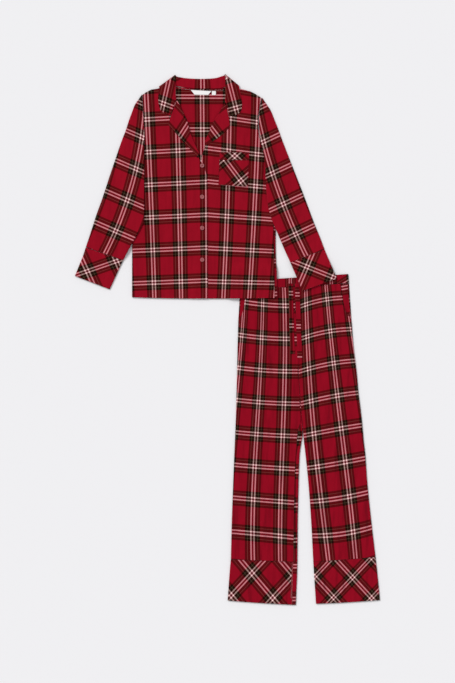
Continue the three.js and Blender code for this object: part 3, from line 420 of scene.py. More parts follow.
SLEEVE_RIGHT = Table("ax ay bx by", [
    (141.9, 94.3, 144.3, 133.2), (138.8, 99.0, 144.2, 136.4), (135.0, 104.4, 144.2, 139.4),
    (132.2, 111.5, 144.2, 142.5), (129.2, 119.5, 144.2, 146.0), (125.6, 130.5, 144.3, 150.5),
    (121.4, 141.4, 144.3, 156.5), (115.2, 159.3, 144.3, 172.0), (108.1, 180.5, 144.3, 194.5),
    (102.2, 198.5, 144.2, 213.5), (99.2, 206.8, 143.6, 221.6), (96.0, 215.6, 140.1, 229.6),
    (91.0, 231.2, 131.6, 244.5), (85.7, 247.2, 123.2, 260.2)])
SLEEVE_LEFT = Table("ax ay bx by bow", [
    (262.1, 97.4, 260.2, 137.2, 2.1), (264.6, 101.2, 260.6, 140.0, 1.6),
    (267.8, 105.8, 260.9, 142.6, 1.1), (271.0, 111.1, 261.6, 145.4, 0.7),
    (274.1, 118.9, 262.5, 149.0, 0.4), (277.9, 128.3, 263.6, 153.6, 0.2),
    (282.1, 139.8, 264.7, 159.6, 0), (288.0, 155.0, 265.4, 167.5, 0),
    (294.4, 171.3, 265.7, 182.8, 0), (301.3, 188.8, 267.4, 202.0, 0),
    (307.0, 203.8, 270.9, 217.3, 0), (313.5, 221.3, 277.2, 232.6, 0),
    (319.6, 236.2, 284.2, 249.0, 0), (324.5, 249.0, 290.4, 262.6, 0)])
CUFF_RIGHT = Table("ax ay bx by", [
    (85.6, 247.4, 123.1, 260.4), (82.8, 256.0, 119.6, 267.6), (78.8, 266.0, 114.6, 278.6),
    (74.8, 275.9, 109.6, 289.3)])
CUFF_LEFT = Table("ax ay bx by", [
    (324.5, 249.15, 290.4, 262.75), (328.6, 259.1, 294.3, 272.0), (332.7, 269.0, 298.4, 281.6),
    (336.8, 278.6, 302.4, 291.0)])


def body_lift(x, y):
    """The shirt's body rises where it lies on the trousers' waist."""
    return OVER_WAIST * soft((x - 224.5) / 9) * soft((y - 262) / 9)


def back_lift(x, y):
    """The back also rides over the fall of the collar behind the neck."""
    return (body_lift(x, y) + STEP * soft((107 - y) / 6) * soft((x - 148) / 7)
            * soft((252 - x) / 7))


def lap_lift(x, y):
    """The wearer's right front laps over the left one."""
    return STEP * soft((x - 186.5) / 9) * soft((y - 146) / 14)


def right_sleeve_lift(x, y):
    return (OVER_BODY * soft((y - 134) / 14)
            * soft((x - (along(BODY_LEFT_EDGE, y) - 15)) / 9.5) * soft((262 - y) / 10))


def left_sleeve_lift(x, y):
    beside = (OVER_BODY * soft((y - 137) / 14) * soft((along(BODY_RIGHT_EDGE, y) + 15 - x) / 9.5)
              * soft((268 - y) / 14))
    return np.maximum(beside, OVER_WAIST * soft((y - 253) / 14))


def shirt_back(lift, under):
    """Whole width, turned up round both sides below the armholes, and over the shoulders."""
    flats = [(x - 132.8) / 143.2 for x in (264, 252, 242, 233.5, 230.5, 227.5, 224.5, 208, 192,
                                           176, 160, 146)]

    def knots(v):
        on = 1 - soft((v - 9) / 1)
        wrap = on * soft((6.5 - v) / 1.5)
        turns = [90 * wrap - 5 * (1 - wrap), 45 * wrap - 30 * (1 - wrap), -55 * (1 - wrap),
                 -45 * wrap - 70 * (1 - wrap), -90 + 0 * v]
        right = [(1 - s, t) for s, t in side_knots(v, BODY, on, turns)]
        straight = -(FOLD + WALL / 2 - SEAM) / run_of(BODY, v)
        left = [(mix(straight * (i + 1) / 3, 0, on), mix(-90, t, on))
                for i, t in enumerate((-90, -130, -175))]
        return right + [(f + 0 * v, -90 + 0 * v) for f in flats] + left

    def surface(us, vs):
        w = np.minimum(vs, 15)
        share, turn = knot_at(knots(w), us)
        p, laid = ring(BODY, w, share, turn, lift=lift, under=under, base="under")
        base = ring(BODY, w, share, turn, base="under")[0]
        v = vs[:, None]
        x, y15 = plan_x(base[..., 0]), plan_y(base[..., 1])
        line = np.minimum(along(BACK_TOP, x), y15 - 0.6)
        neck = soft((x - 167.6) / 1.4) * soft((231.9 - x) / 1.4)
        low, high = WALL / 2 + lift(x, line), TUBE - WALL / 2
        r = (high - low) / 2
        angle = np.radians(85) * clamp((v - 16) / 2) * (1 - neck)
        y = mix(y15, line, clamp(v - 15))
        up = np.stack([base[..., 0],
                       plan(x, y)[1] + r * np.sin(angle) + neck * 0.5 * clamp((v - 16) / 2),
                       np.where(v <= 16, WALL / 2 + lift(x, y), (low + high) / 2
                                - r * np.cos(angle))], -1)
        over = v > 15
        laid_up = np.stack([x, y - r * angle / UNIT], -1)
        return np.where(over[..., None], up, p), np.where(over[..., None], laid_up, laid)

    return surface, range(len(flats) + 8), [0, 1, 2, 2.33, 2.67, 3, 4, 6, 7, 8, 9, 10, 11, 12,
                                            13.5, 15, 16, 17, 18]


def front(table, knots, lift, puff):
    """A front from its side to its edge, and up to the shoulder, which turns to the back."""
    def surface(us, vs):
        w = np.minimum(vs, SHOULDER)
        share, turn = knot_at(knots(w), us)
        p, laid = ring(table, w, share, turn, lift=lift, puff=puff)
        v = vs[:, None]
        x = plan_x(p[..., 0])
        y = mix(p[..., 1], plan(x, along(BACK_TOP, x))[1], clamp(v - SHOULDER + 1))
        low, high = WALL / 2 + back_lift(x, plan_y(y)), TUBE - WALL / 2
        r = (high - low) / 2
        angle = np.radians(85) * clamp((v - SHOULDER) / 2)
        z = np.where(v <= SHOULDER, p[..., 2], (low + high) / 2 + r * np.cos(angle))
        z = np.where((v > SHOULDER - 1) & (v <= SHOULDER),
                     mix(p[..., 2], high, clamp(v - SHOULDER + 1)), z)
        laid = np.stack([laid[..., 0], np.where(v > SHOULDER - 1, plan_y(y) - r * angle / UNIT,
                                                laid[..., 1])], -1)
        return np.stack([p[..., 0], y + r * np.sin(angle), z], -1), laid
    return surface


def front_right(puff):
    def knots(v):
        on = 1 - soft((v - 9) / 1)
        end = (FOLD + WALL / 2 - SEAM) / run_of(FRONT_RIGHT, v)
        width = FRONT_RIGHT("bx", v) - FRONT_RIGHT("ax", v)
        inset = soft((v - 9.6) / 0.4) * (ROLL_IN - SEAM) / (width * UNIT)
        side = [(mix(-end * (1 - i / 3), 0, on), mix(90, turn, on))
                for i, turn in enumerate((175, 130, 90))]
        middle = [((x - 132) / 76 + 0 * v, 90 + 0 * v)
                  for x in (146, 160, 176, 186.5, 189.5, 192.5, 195.5, 201)]
        return side + middle + [(1 + end - inset, 90 + 0 * v)]
    lift = lambda x, y: body_lift(x, y) + lap_lift(x, y)
    return front(FRONT_RIGHT, knots, lift, puff), range(12), FRONT_ROWS


def front_left(puff):
    def knots(v):
        end = (FOLD + WALL / 2 - SEAM) / run_of(FRONT_LEFT, v)
        width = FRONT_LEFT("bx", v) - FRONT_LEFT("ax", v)
        inset = soft((v - 10.6) / 0.4) * (ROLL_IN - SEAM) / (width * UNIT)
        middle = [((x - 196) / 78 + 0 * v, 90 + 0 * v)
                  for x in (204, 214, 224.5, 227.5, 230.5, 233.5, 242, 252, 264)]
        return [(-end + inset, 90 + 0 * v)] + middle + [(1 + end, 90 + 0 * v)]
    return front(FRONT_LEFT, knots, body_lift, puff), range(11), FRONT_ROWS


FRONT_ROWS = [0, 1, 2, 2.33, 2.67, 3, 4, 6, 7, 8, 9, 9.5, 10, 11, 12, 13, 14, 15, 16, 17, 18]


def lapel(table, rise):
    """A turned layer: a half roll round the outer edge a, then flat to the fold b."""
    def surface(us, vs):
        v, u = vs[:, None], us[None, :]
        ax, ay = plan(table("ax", v), table("ay", v))
        bx, by = plan(table("bx", v), table("by", v))
        span = np.hypot(bx - ax, by - ay)
        dx, dy = (bx - ax) / span, (by - ay) / span
        inset = ROLL_R + WALL / 2
        angle = np.radians(-90 + 180 * clamp(u))
        s = np.where(u >= 1, mix(inset, span, (u - 1) / 4), inset - ROLL_R * np.cos(angle))
        x, y = ax + dx * s, ay + dy * s
        z = np.where(u >= 1, ON_FRONT, ON_FRONT - ROLL_R + ROLL_R * np.sin(angle))
        px, py = plan_x(x), plan_y(y)
        return np.stack([x, y, z + rise(px, py)], -1), np.stack([px, py], -1)
    return surface


def collar(us, vs):
    """Fall and stand in one: r is the roll, n the neck seam, f the fall's edge. turn leads
    the piece from in front of the neck (0) over the shoulder to behind it (180)."""
    v, u = vs[:, None], us[None, :]
    row = lambda name: COLLAR(name, v)
    axis = (TUBE + STEP) / 2
    stand = TUBE - WALL / 2 - axis
    fall = stand + STEP
    rx, ry = plan(row("rx"), row("ry"))
    nx, ny = plan(row("nx"), row("ny"))
    fx, fy = plan(row("fx"), row("fy"))
    c, s = np.cos(np.radians(row("turn"))), np.sin(np.radians(row("turn")))
    ox, oy = np.where(v < 14, -0.577, 0.651), np.where(v < 14, 0.817, 0.759)
    inset = ROLL_R + WALL / 2
    df = np.hypot(fx - rx, fy - ry)
    dx, dy = (fx - rx) / df, (fy - ry) / df
    dn = np.hypot(nx - rx, ny - ry)
    ex, ey = (nx - rx) / dn, (ny - ry) / dn
    t1 = mix(np.maximum(dn, inset + 0.8), inset, clamp(u))
    a = math.pi * clamp(u - 1)
    gx, gy = mix(ex, dx, clamp(u - 1)), mix(ey, dy, clamp(u - 1))
    g = np.maximum(np.hypot(gx, gy), 1e-6)
    k = inset - ROLL_R * np.sin(a)
    t3 = mix(inset, df, clamp((u - 2) / 3))
    on = [u < 1, u <= 2]
    qx = np.select(on, [rx + ex * t1, rx + gx / g * k], rx + dx * t3)
    qy = np.select(on, [ry + ey * t1, ry + gy / g * k], ry + dy * t3)
    radius = np.select(on, [stand + 0 * a, (stand + fall) / 2 - ROLL_R * np.cos(a)], fall + 0 * a)
    p = np.stack([qx + ox * radius * s, qy + oy * radius * s, axis + radius * c], -1)
    # unrolled plan place: the fall as it lies, the stand turned out beyond the roll
    beyond = np.select(on, [-t1 - 3, k - inset - 3 * (1 - clamp(u - 1))], t3)
    laid = np.stack([plan_x(rx + dx * beyond), plan_y(ry + dy * beyond), v + 0 * u], -1)
    return p, laid


def collar_weave(x, y, v):
    """The collar's tartan: straight on each fall and along the back of the neck, changed from
    one to the next where the piece turns over the shoulder."""
    right = GRAIN["collar_right"](x, y) + (-1, 1)
    left = GRAIN["collar_left"](x, y) + (1, 1)
    back = np.stack([(x - 202.4) / 28.2, 0.5 + (y - 72) / 32.7], -1)
    to_back, to_left = soft((v - 6.5) / 3)[..., None], soft((v - 18.5) / 3)[..., None]
    return mix(mix(right, back, to_back), left, to_left)


def patch(corners, z):
    """A flat piece between four plan corners from the top left, clockwise."""
    def surface(us, vs):
        u, v = us[None, :], vs[:, None]
        (px, py), (qx, qy), (rx, ry), (sx, sy) = corners
        x = mix(mix(px, qx, u), mix(sx, rx, u), v)
        y = mix(mix(py, qy, u), mix(sy, ry, u), v)
        mx, my = plan(x, y)
        return np.stack([mx, my, z(x, y) + 0 * x], -1), np.stack([x, y], -1)
    return surface


# TROUSER TABLES AND FORMS

LEG_RIGHT = Table("ax ay bx by", [
    (239.7, 290.3, 294.4, 286.8), (239.4, 300.0, 294.9, 298.0), (238.8, 312.0, 295.6, 311.0),
    (238.3, 320.0, 296.2, 320.0), (237.6, 345.0, 297.4, 345.0), (237.0, 370.0, 298.6, 370.0),
    (236.4, 394.0, 300.0, 394.0), (236.2, 400.0, 300.4, 400.0), (235.8, 418.0, 301.8, 418.0),
    (235.2, 433.0, 302.75, 433.0), (234.8, 442.0, 301.4, 442.4), (234.2, 456.0, 299.6, 456.6),
    (233.1, 484.0, 298.6, 485.4), (231.8, 520.0, 297.8, 522.0), (230.8, 559.4, 297.4, 562.0)])
LEG_LEFT = Table("ax ay bx by", [
    (294.4, 286.8, 349.1, 283.1), (294.9, 298.0, 350.0, 297.0), (295.6, 311.0, 350.9, 310.0),
    (296.2, 320.0, 351.5, 319.0), (297.4, 345.0, 353.4, 344.0), (298.6, 370.0, 356.4, 369.0),
    (300.0, 394.0, 358.6, 393.0), (300.4, 400.0, 359.4, 399.0), (301.8, 418.0, 361.6, 417.0),
    (303.1, 433.0, 363.0, 432.0), (304.0, 442.4, 363.9, 442.0), (305.7, 456.6, 365.5, 456.0),
    (308.6, 485.4, 367.5, 484.0), (311.2, 522.0, 371.2, 520.0), (313.3, 562.0, 375.6, 557.2)])
POCKET_IN = Table("right left", [(6.4, 8.4), (5.6, 7.6), (3.9, 5.6), (1.6, 2.6)])
WAISTBAND = Table("ax ay bx by", [
    (240.2, 281.2, 348.3, 274.0), (240.0, 285.9, 348.7, 278.8), (239.7, 290.2, 349.1, 283.0)])
HEM_RIGHT = Table("ax ay bx by bow", [
    (230.8, 559.5, 297.4, 562.1, 0), (229.6, 573.0, 297.0, 576.5, 0),
    (228.6, 587.0, 296.4, 591.0, 0.2), (227.6, 600.6, 295.9, 605.0, 0.4)])
HEM_LEFT = Table("ax ay bx by bow", [
    (313.3, 562.1, 375.6, 557.3, 0), (314.2, 576.0, 377.2, 571.6, 0),
    (315.1, 590.0, 378.7, 586.0, 0.2), (316.0, 603.9, 380.0, 600.1, 0.4)])
TIE_RIGHT = Table("ax ay bx by", [
    (288.6, 283.6, 292.9, 283.4), (288.9, 300.0, 293.3, 300.0), (289.3, 326.0, 293.9, 326.0),
    (290.4, 354.0, 295.1, 353.6)])
TIE_LEFT = Table("ax ay bx by", [
    (294.8, 283.4, 299.0, 283.2), (295.4, 300.0, 300.0, 300.0), (296.3, 326.0, 301.0, 326.0),
    (297.4, 358.0, 302.2, 357.6)])
LEG_ROWS = [0, 0.6, 1.3, 2, 2.6, 3.2, 4, 5, 6, 7, 8, 9, 9.6, 10.4, 12, 14]


def gathers(x, y):
    """Gathers of the elasticated waist: uneven waves across, up to GATHER high, that die out
    at uneven lengths down the fronts."""
    below = y - along([(240, 289), (349, 282)], x)
    reach = 20 + 9 * np.sin(x / 3.1) + 6 * np.sin(x / 7.3 + 2)
    fade = 1 - soft(below / np.maximum(reach, 8))
    phase = (x - 239) / 4.9 + 0.35 * np.sin((x - 239) / 9.3) + 0.25 * np.sin(x / 3.3)
    wave = 0.5 - 0.5 * np.cos(2 * math.pi * phase)
    return GATHER * fade * (wave * (0.75 + 0.25 * np.sin(x / 5.7)) - 0.35 * (1 - wave))


def inner_open(v):
    return soft(v - 6)


def inseam_in(v):
    return 0.9 + 4.2 * soft((v - 8) / 0.95) - 1.2 * soft((v - 9.3) / 1.5)


def mirrored(knots, around):
    """The same knots from the other side of the tube, their turns taken around an angle."""
    return lambda v: [(1 - s, around - t) for s, t in knots(v)][::-1]


def trouser_front(table, outer, puff):
    def knots(v):
        run = run_of(table, v)
        end = (FOLD + WALL / 2 - SEAM) / run
        pocket = 1 - soft((v - 2.6) / 0.6)
        inset = POCKET_IN("right" if outer == "a" else "left", np.minimum(3, v))
        inside = (inset * UNIT - FOLD - WALL / 2) / run
        side = [(mix(0, inside + i * 0.004, pocket), mix(turn, 90, pocket))
                for i, turn in enumerate((175, 130, 90))]
        opened = inner_open(v)
        inner = []
        for i in range(3):
            straight = 1 + end - 0.004 * (2 - i)
            if outer == "a":
                inset = (inseam_in(v) * UNIT - FOLD - WALL / 2) / run
                inner.append((mix(straight, 1 - inset - 0.3 / run - 0.004 * (2 - i), opened),
                              90 + 0 * v))
            else:
                inner.append((mix(straight, 1, opened), mix(90, (90, 50, 5)[i], opened)))
        s0, s1 = side[2][0], inner[0][0]
        return side + [(mix(s0, s1, t), 90 + 0 * v) for t in (0.02, 0.3, 0.6, 0.98)] + inner
    if outer == "b":
        knots = mirrored(knots, 180)
    return panel(table, knots, puff=puff), range(10), LEG_ROWS


def trouser_back(table, outer, under):
    turns = (-90, -45, 0, 45, 90, 90) if outer == "a" else (-90, -45, -5)

    def knots(v):
        run, opened, n = run_of(table, v), inner_open(v), len(turns)
        end = (FOLD + WALL / 2 - SEAM) / run
        strip = (inseam_in(v) * UNIT - FOLD - WALL / 2) / run
        inner = []
        for i, turn in enumerate(turns):
            full = 1 - np.maximum(strip, 0.2 / run) if n == 6 and i == 5 else 1
            inner.append((mix(1 + end - 0.01 * (n - 1 - i), full, opened), mix(-90, turn, opened)))
        side = [(0 * v, t + 0 * v) for t in (-175, -130, -90)]
        return side + [(f + 0 * v, -90 + 0 * v) for f in (0.1, 0.3, 0.5, 0.7, 0.9)] + inner
    if outer == "b":
        knots = mirrored(knots, -180)
    return panel(table, knots, under=under, base="under"), range(8 + len(turns)), LEG_ROWS


def tie(table, bend):
    def surface(us, vs):
        u, v = us[None, :], vs[:, None]
        x = mix(table("ax", v), table("bx", v), u)
        y = mix(table("ay", v), table("by", v), u)
        mx, my = plan(x, y)
        z = TUBE + GATHER + 0.3 + TIE_T / 2 - GATHER * soft((y - 312) / 14) + bend(u, v)
        return np.stack([mx, my, z], -1), np.stack([x, y], -1)
    return surface


# BUTTONS AND SEWING

def lathe(profile, sides=40):
    """A closed ring: the profile of (radius, height) turned round the upright axis."""
    profile = np.array(profile, float)
    turn = 2 * math.pi * np.arange(sides) / sides
    r, z = profile[:, 0][None, :], profile[:, 1][None, :]
    points = np.stack([r * np.cos(turn)[:, None], r * np.sin(turn)[:, None],
                       z + 0 * turn[:, None]], -1).reshape(-1, 3)
    ids = np.arange(sides * len(profile)).reshape(sides, -1)
    ahead, up = np.roll(ids, -1, 0), np.roll(ids, -1, 1)
    faces = np.stack([ids, ahead, np.roll(ahead, -1, 1), up], -1).reshape(-1, 4)
    return points, faces


def disc_with_holes(radius, half, holes, hole):
    """A flat disc cut through by round holes, with rounded edges, as a mesh object."""
    curve = bpy.data.curves.new("disc", "CURVE")
    curve.dimensions, curve.fill_mode = "2D", "BOTH"
    curve.extrude, curve.bevel_depth, curve.bevel_resolution = half * 0.6, half * 0.4, 2
    for x, y, r, n in [(0, 0, radius, 40)] + [(x, y, hole, 16) for x, y in holes]:
        spline = curve.splines.new("POLY")
        spline.points.add(n - 1)
        for k, point in enumerate(spline.points):
            a = 2 * math.pi * k / n
            point.co = (x + r * math.cos(a), y + r * math.sin(a), 0, 1)
        spline.use_cyclic_u = True
    maker = bpy.data.objects.new("disc", curve)
    bpy.context.scene.collection.objects.link(maker)
    mesh = bpy.data.meshes.new_from_object(
        maker.evaluated_get(bpy.context.evaluated_depsgraph_get()))
    bpy.data.objects.remove(maker)
    return mesh


def button(name, x, y, size, material):
    """A moulded button: a dished web with four holes inside a rounded rim."""
    r, base = size / 2, TUBE + STEP + GAP
    holes = [(HOLE_AT * a, HOLE_AT * b) for a, b in ((1, 1), (-1, 1), (-1, -1), (1, -1))]
    mesh = disc_with_holes(r - 1.5, 0.55, holes, HOLE_R)
    web = bmesh.new()
    web.from_mesh(mesh)
    for v in web.verts:
        v.co.z += base + BUTTON_WEB + 0.35 * (v.co.xy.length / r) ** 2
    points, faces = lathe([(r - 1.7, 0.95), (r - 1.2, 0.25), (r - 0.5, 0.1), (r - 0.05, 0.7),
                           (r, 1.4), (r - 0.3, 2.1), (r - 0.8, 2.4), (r - 1.35, 2.2),
                           (r - 1.75, 1.7)])
    rim = [web.verts.new(p + (0, 0, base)) for p in points]
    for f in faces:
        web.faces.new([rim[i] for i in f])
    bmesh.ops.remove_doubles(web, verts=web.verts, dist=1e-4)
    mx, my = plan(x, y)
    bmesh.ops.translate(web, verts=web.verts, vec=(mx, my, 0))
    bmesh.ops.scale(web, verts=web.verts, vec=(0.001, 0.001, 0.001))
    bmesh.ops.recalc_face_normals(web, faces=web.faces)
    web.to_mesh(mesh)
    web.free()
    mesh.shade_smooth()
    mesh.materials.clear()
    mesh.materials.append(material)
    obj = bpy.data.objects.new(name, mesh)
    bpy.context.scene.collection.objects.link(obj)
    return obj


def sew(name, routes, finish="thread", length=None, gap=0.8, radius=0.22, sink=0.1):
    """Rows of stitches: along each route, a list of points on the cloth in millimetres, a
    bowed length of thread that dips in at both ends, then a gap."""
    length = length or bpy.context.scene.pyjama_trim.stitch * 1000
    sides, rings = 6, 6
    t = np.linspace(0, 1, rings)
    points, faces, layer = [], [], []
    for route in routes:
        far = np.concatenate([[0], np.cumsum(np.linalg.norm(np.diff(route, axis=0), axis=1))])
        n = max(1, int(far[-1] / (length + gap)))
        start = (np.arange(n) + 0.12) * far[-1] / n
        d = start[:, None] + t * length
        mid = np.stack([np.interp(d, far, route[:, k]) for k in range(3)], -1)
        mid[..., 2] += radius * np.sin(math.pi * t) - sink
        way = np.gradient(mid, axis=1)
        way /= np.linalg.norm(way, axis=-1, keepdims=True)
        side = np.cross(way, (0, 0, 1.0))
        side /= np.linalg.norm(side, axis=-1, keepdims=True)
        up = np.cross(side, way)
        a = 2 * math.pi * np.arange(sides) / sides
        size = radius * (0.45 + 0.55 * np.sin(math.pi * t))[None, :, None, None]
        p = mid[:, :, None] + size * (side[:, :, None] * np.cos(a)[:, None]
                                      + up[:, :, None] * np.sin(a)[:, None])
        base = sum(len(q) for q in points)
        ids = base + np.arange(n * rings * sides).reshape(n, rings, sides)
        ring, ahead = ids[:, :-1], ids[:, 1:]
        tube_faces = np.stack([ring, np.roll(ring, -1, 2), np.roll(ahead, -1, 2), ahead], -1)
        caps = [ids[:, 0][:, [3, 2, 1, 0]], ids[:, 0][:, [5, 4, 3, 0]],
                ids[:, -1][:, [0, 1, 2, 3]], ids[:, -1][:, [0, 3, 4, 5]]]
        points.append(p.reshape(-1, 3))
        faces += [tube_faces.reshape(-1, 4)] + caps
        layer.append(np.stack([d[:, :, None] / 10 + 0 * a, a / 20 + 0 * d[:, :, None]],
                              -1).reshape(-1, 2))
    faces, layer = np.concatenate(faces), np.concatenate(layer)
    obj = make_mesh(name, np.concatenate(points), faces, {"thread": layer[faces]},
                    finish_of(finish, bpy.context.scene.pyjama_cloth))
    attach(obj, "root")
    return obj


def row_on(form, u, v, steps=60):
    """Points on top of a laid cloth between two places (u, v) of its form."""
    surface = form[0] if isinstance(form, tuple) else form
    (u0, u1), (v0, v1) = u, v
    along_row = [surface(np.array([mix(u0, u1, k)]), np.array([mix(v0, v1, k)]))[0][0, 0]
                 for k in np.linspace(0, 1, steps)]
    return np.array(along_row) + (0, 0, WALL / 2 - 0.05)


# FINISHES

class Wire:
    """A node socket in a sum: an expression on wires adds its Math nodes."""

    def __init__(self, nodes, out):
        self.nodes, self.out = nodes, out

    def sum(self, kind, *args):
        node = self.nodes.add("ShaderNodeMath", dict(operation=kind), *args)
        return Wire(self.nodes, node.outputs[0])

    def __add__(self, b):
        return self.sum("ADD", self, b)

    def __radd__(self, b):
        return self.sum("ADD", b, self)

    def __sub__(self, b):
        return self.sum("SUBTRACT", self, b)

    def __mul__(self, b):
        return self.sum("MULTIPLY", self, b)

    def __abs__(self):
        return self.sum("ABSOLUTE", self)

    def sin(self):
        return self.sum("SINE", self)

    def fract(self):
        return self.sum("FRACT", self)

    def over(self, b):
        return self.sum("GREATER_THAN", self, b)


class Finish:
    """A node material whose nodes come from one method."""

    def __init__(self, name):
        self.material = bpy.data.materials.new(name)
        self.material.use_nodes = True
        self.tree = self.material.node_tree
        self.shader = self.tree.nodes["Principled BSDF"]

    def put(self, socket, value):
        if isinstance(value, Wire):
            self.tree.links.new(value.out, socket)
        elif isinstance(value, bpy.types.NodeSocket):
            self.tree.links.new(value, socket)
        else:
            socket.default_value = value

    def add(self, kind, settings=None, *args, **named):
        """One node: settings first (a ramp's stops too), then its sockets by place or name."""
        node = self.tree.nodes.new(kind)
        settings = dict(settings or {})
        stops = settings.pop("stops", None)
        for key, value in settings.items():
            setattr(node, key, value)
        if stops:
            ramp = node.color_ramp
            ramp.interpolation = "CONSTANT"
            while len(ramp.elements) < len(stops):
                ramp.elements.new(1.0)
            for element, (place, colour) in zip(ramp.elements, stops):
                element.position, element.color = place, (*colour, 1)
        for k, value in enumerate(args):
            self.put(node.inputs[k], value)
        for key, value in named.items():
            self.put(node.inputs[key.replace("_", " ")], value)
        return node

    def wire(self, node, output=0):
        return Wire(self, node.outputs[output])

    def colour_mix(self, factor, a, b, blend="MIX"):
        node = self.add("ShaderNodeMix", dict(data_type="RGBA", blend_type=blend))
        for key, value in ((0, factor), (6, a), (7, b)):
            self.put(node.inputs[key], value)
        return node.outputs[2]

    def uv(self, name):
        parts = self.add("ShaderNodeSeparateXYZ", None,
                         self.add("ShaderNodeUVMap", dict(uv_map=name)).outputs[0])
        return self.wire(parts, 0), self.wire(parts, 1)

    def noise(self, scale, detail=2.0, rough=0.5, stretch=(1, 1, 1)):
        place = self.add("ShaderNodeMapping", None,
                         self.add("ShaderNodeTexCoord").outputs["Object"], Scale=stretch)
        return self.wire(self.add("ShaderNodeTexNoise", None, place.outputs[0], Scale=scale,
                                  Detail=detail, Roughness=rough))

    def bump(self, height, distance, strength=1.0, below=None):
        node = self.add("ShaderNodeBump", None, Strength=strength, Distance=distance,
                        Height=height)
        if below is not None:
            self.put(node.inputs["Normal"], below)
        return node.outputs[0]

    def shine(self, **named):
        for key, value in named.items():
            self.put(self.shader.inputs[key.replace("_", " ")], value)


def tartan_finish(name, s, tone, folds, plain=False):
    """Brushed twill in tartan. The distance from the nearest pair picks the yarn of warp and of
    weft; the two are mixed half and half on the square roots of their colours, a twill line of
    each in turn showing a little more, and then squared. tone changes the red ground alone, and
    folds is how strongly long soft folds down the cloth show."""
    m = Finish(name)
    ground = tuple(c * t for c, t in zip(s.red, tone))
    tu, tv = m.uv("tartan")
    du, dv = abs((tu + 0.5).fract() - 0.5) * 2, abs((tv + 0.5).fract() - 0.5) * 2

    def yarns(distance, repeat):
        at = lambda mm: mm / (repeat / 2)
        dark, white, wine, line = (tuple(c) for c in (s.dark, s.white, s.wine, s.line))
        stops = [(0.0, wine), (at(2.85), white), (at(6.6), ground), (at(7.1), dark),
                 (at(15.1), line), (at(16.2), dark), (at(23.2), ground)]
        if plain:
            stops = [(0.0, ground), (0.5, ground)]
        return m.add("ShaderNodeValToRGB", dict(stops=stops), distance).outputs[0]

    fu, fv = m.uv("thread")
    twill = ((fu + fv) * 15.0).fract()
    share = 0.5 + (twill.over(0.5) - 0.5) * 0.16
    blend = m.colour_mix(share, yarns(du, s.warp_repeat), yarns(dv, s.weft_repeat))
    nap = m.noise(900, 3.0, 0.6)
    # broad soft patches, lighter and darker, are painted fold shade laid over the nap's own tone
    painted_fold_shade = m.noise(38, 3.0, 0.55)
    shade = 1.0 + (nap - 0.5) * 0.16 + (painted_fold_shade - 0.5) * 0.10
    tint = m.add("ShaderNodeCombineColor", None, shade, shade, shade)
    blend = m.colour_mix(1.0, blend, tint.outputs[0], "MULTIPLY")
    colour = m.add("ShaderNodeVectorMath", dict(operation="MULTIPLY"), blend, blend).outputs[0]
    ridge = (twill * 6.2832).sin() * 0.5 + ((fu - fv) * 94.0).sin() * 0.2
    weave = m.bump(ridge, 0.00012, 0.45)
    fuzz = m.bump(nap, 0.0004, 0.35, weave)
    soft_folds = m.bump(m.noise(34, 1.5, 0.5, (1, 0.2, 1)), 0.02, folds, fuzz)
    m.shine(Base_Color=colour, Roughness=0.93 + (nap - 0.5) * 0.1, Normal=soft_folds,
            Sheen_Weight=0.03, Sheen_Roughness=0.5, Specular_IOR_Level=0.06)
    return m.material


def label_finish(s):
    """White satin ribbon: fine ribs across and a faint wave, with a painted highlight on the rib
    crests.
    """
    m = Finish("label ribbon")
    fu, fv = m.uv("thread")
    rib = (fv * 300.0).sin() * 0.5 + (fu * 220.0).sin() * 0.25
    # rib * 0.012 paints the rib crests a little lighter, a painted highlight; the noise is the ribbon's
    # own tone
    tone = 0.88 + (m.noise(500, 2.0) - 0.5) * 0.06 + rib * 0.012
    colour = m.add("ShaderNodeCombineColor", None, tone, tone * 0.995, tone * 0.985)
    m.shine(Base_Color=colour.outputs[0], Roughness=0.62 + rib * 0.04,
            Normal=m.bump(rib, 0.00008, 0.5), Sheen_Weight=0.2)
    return m.material


def button_finish(s):
    """Moulded button: cloudy rose with paler drifts, smooth and a little translucent."""
    m = Finish("button moulding")
    drift = m.noise(260, 3.0, 0.6, (1, 2.4, 1))
    colour = m.colour_mix(drift, (0.24, 0.045, 0.055, 1), (0.46, 0.15, 0.16, 1))
    m.shine(Base_Color=colour, Roughness=0.3 + (drift - 0.5) * 0.12,
            Normal=m.bump(m.noise(700), 0.00015, 0.2), Coat_Weight=0.1, Specular_IOR_Level=0.3,
            Subsurface_Weight=0.15, Subsurface_Scale=0.002)
    return m.material


def thread_finish(name, colour):
    """Sewing thread: two plies twisted, seen as slanted bands along each stitch, each band bumped and
    painted lighter on its crest as a painted highlight.
    """
    m = Finish(name)
    fu, fv = m.uv("thread")
    ply = ((fu + fv) * 40.0).sin()
    # the crest of each ply band is painted up to 1.5 times lighter: a painted highlight
    shade = m.colour_mix(0.5 + ply * 0.3, (*colour, 1), (*(c * 1.5 for c in colour), 1))
    m.shine(Base_Color=shade, Roughness=0.7, Normal=m.bump(ply, 0.0001, 0.6), Sheen_Weight=0.03,
            Specular_IOR_Level=0.2)
    return m.material


# SETTINGS

def colour_prop(name, text, value):
    return FloatVectorProperty(name=name, description=text, default=value, size=3, min=0, max=1,
                               subtype="COLOR")


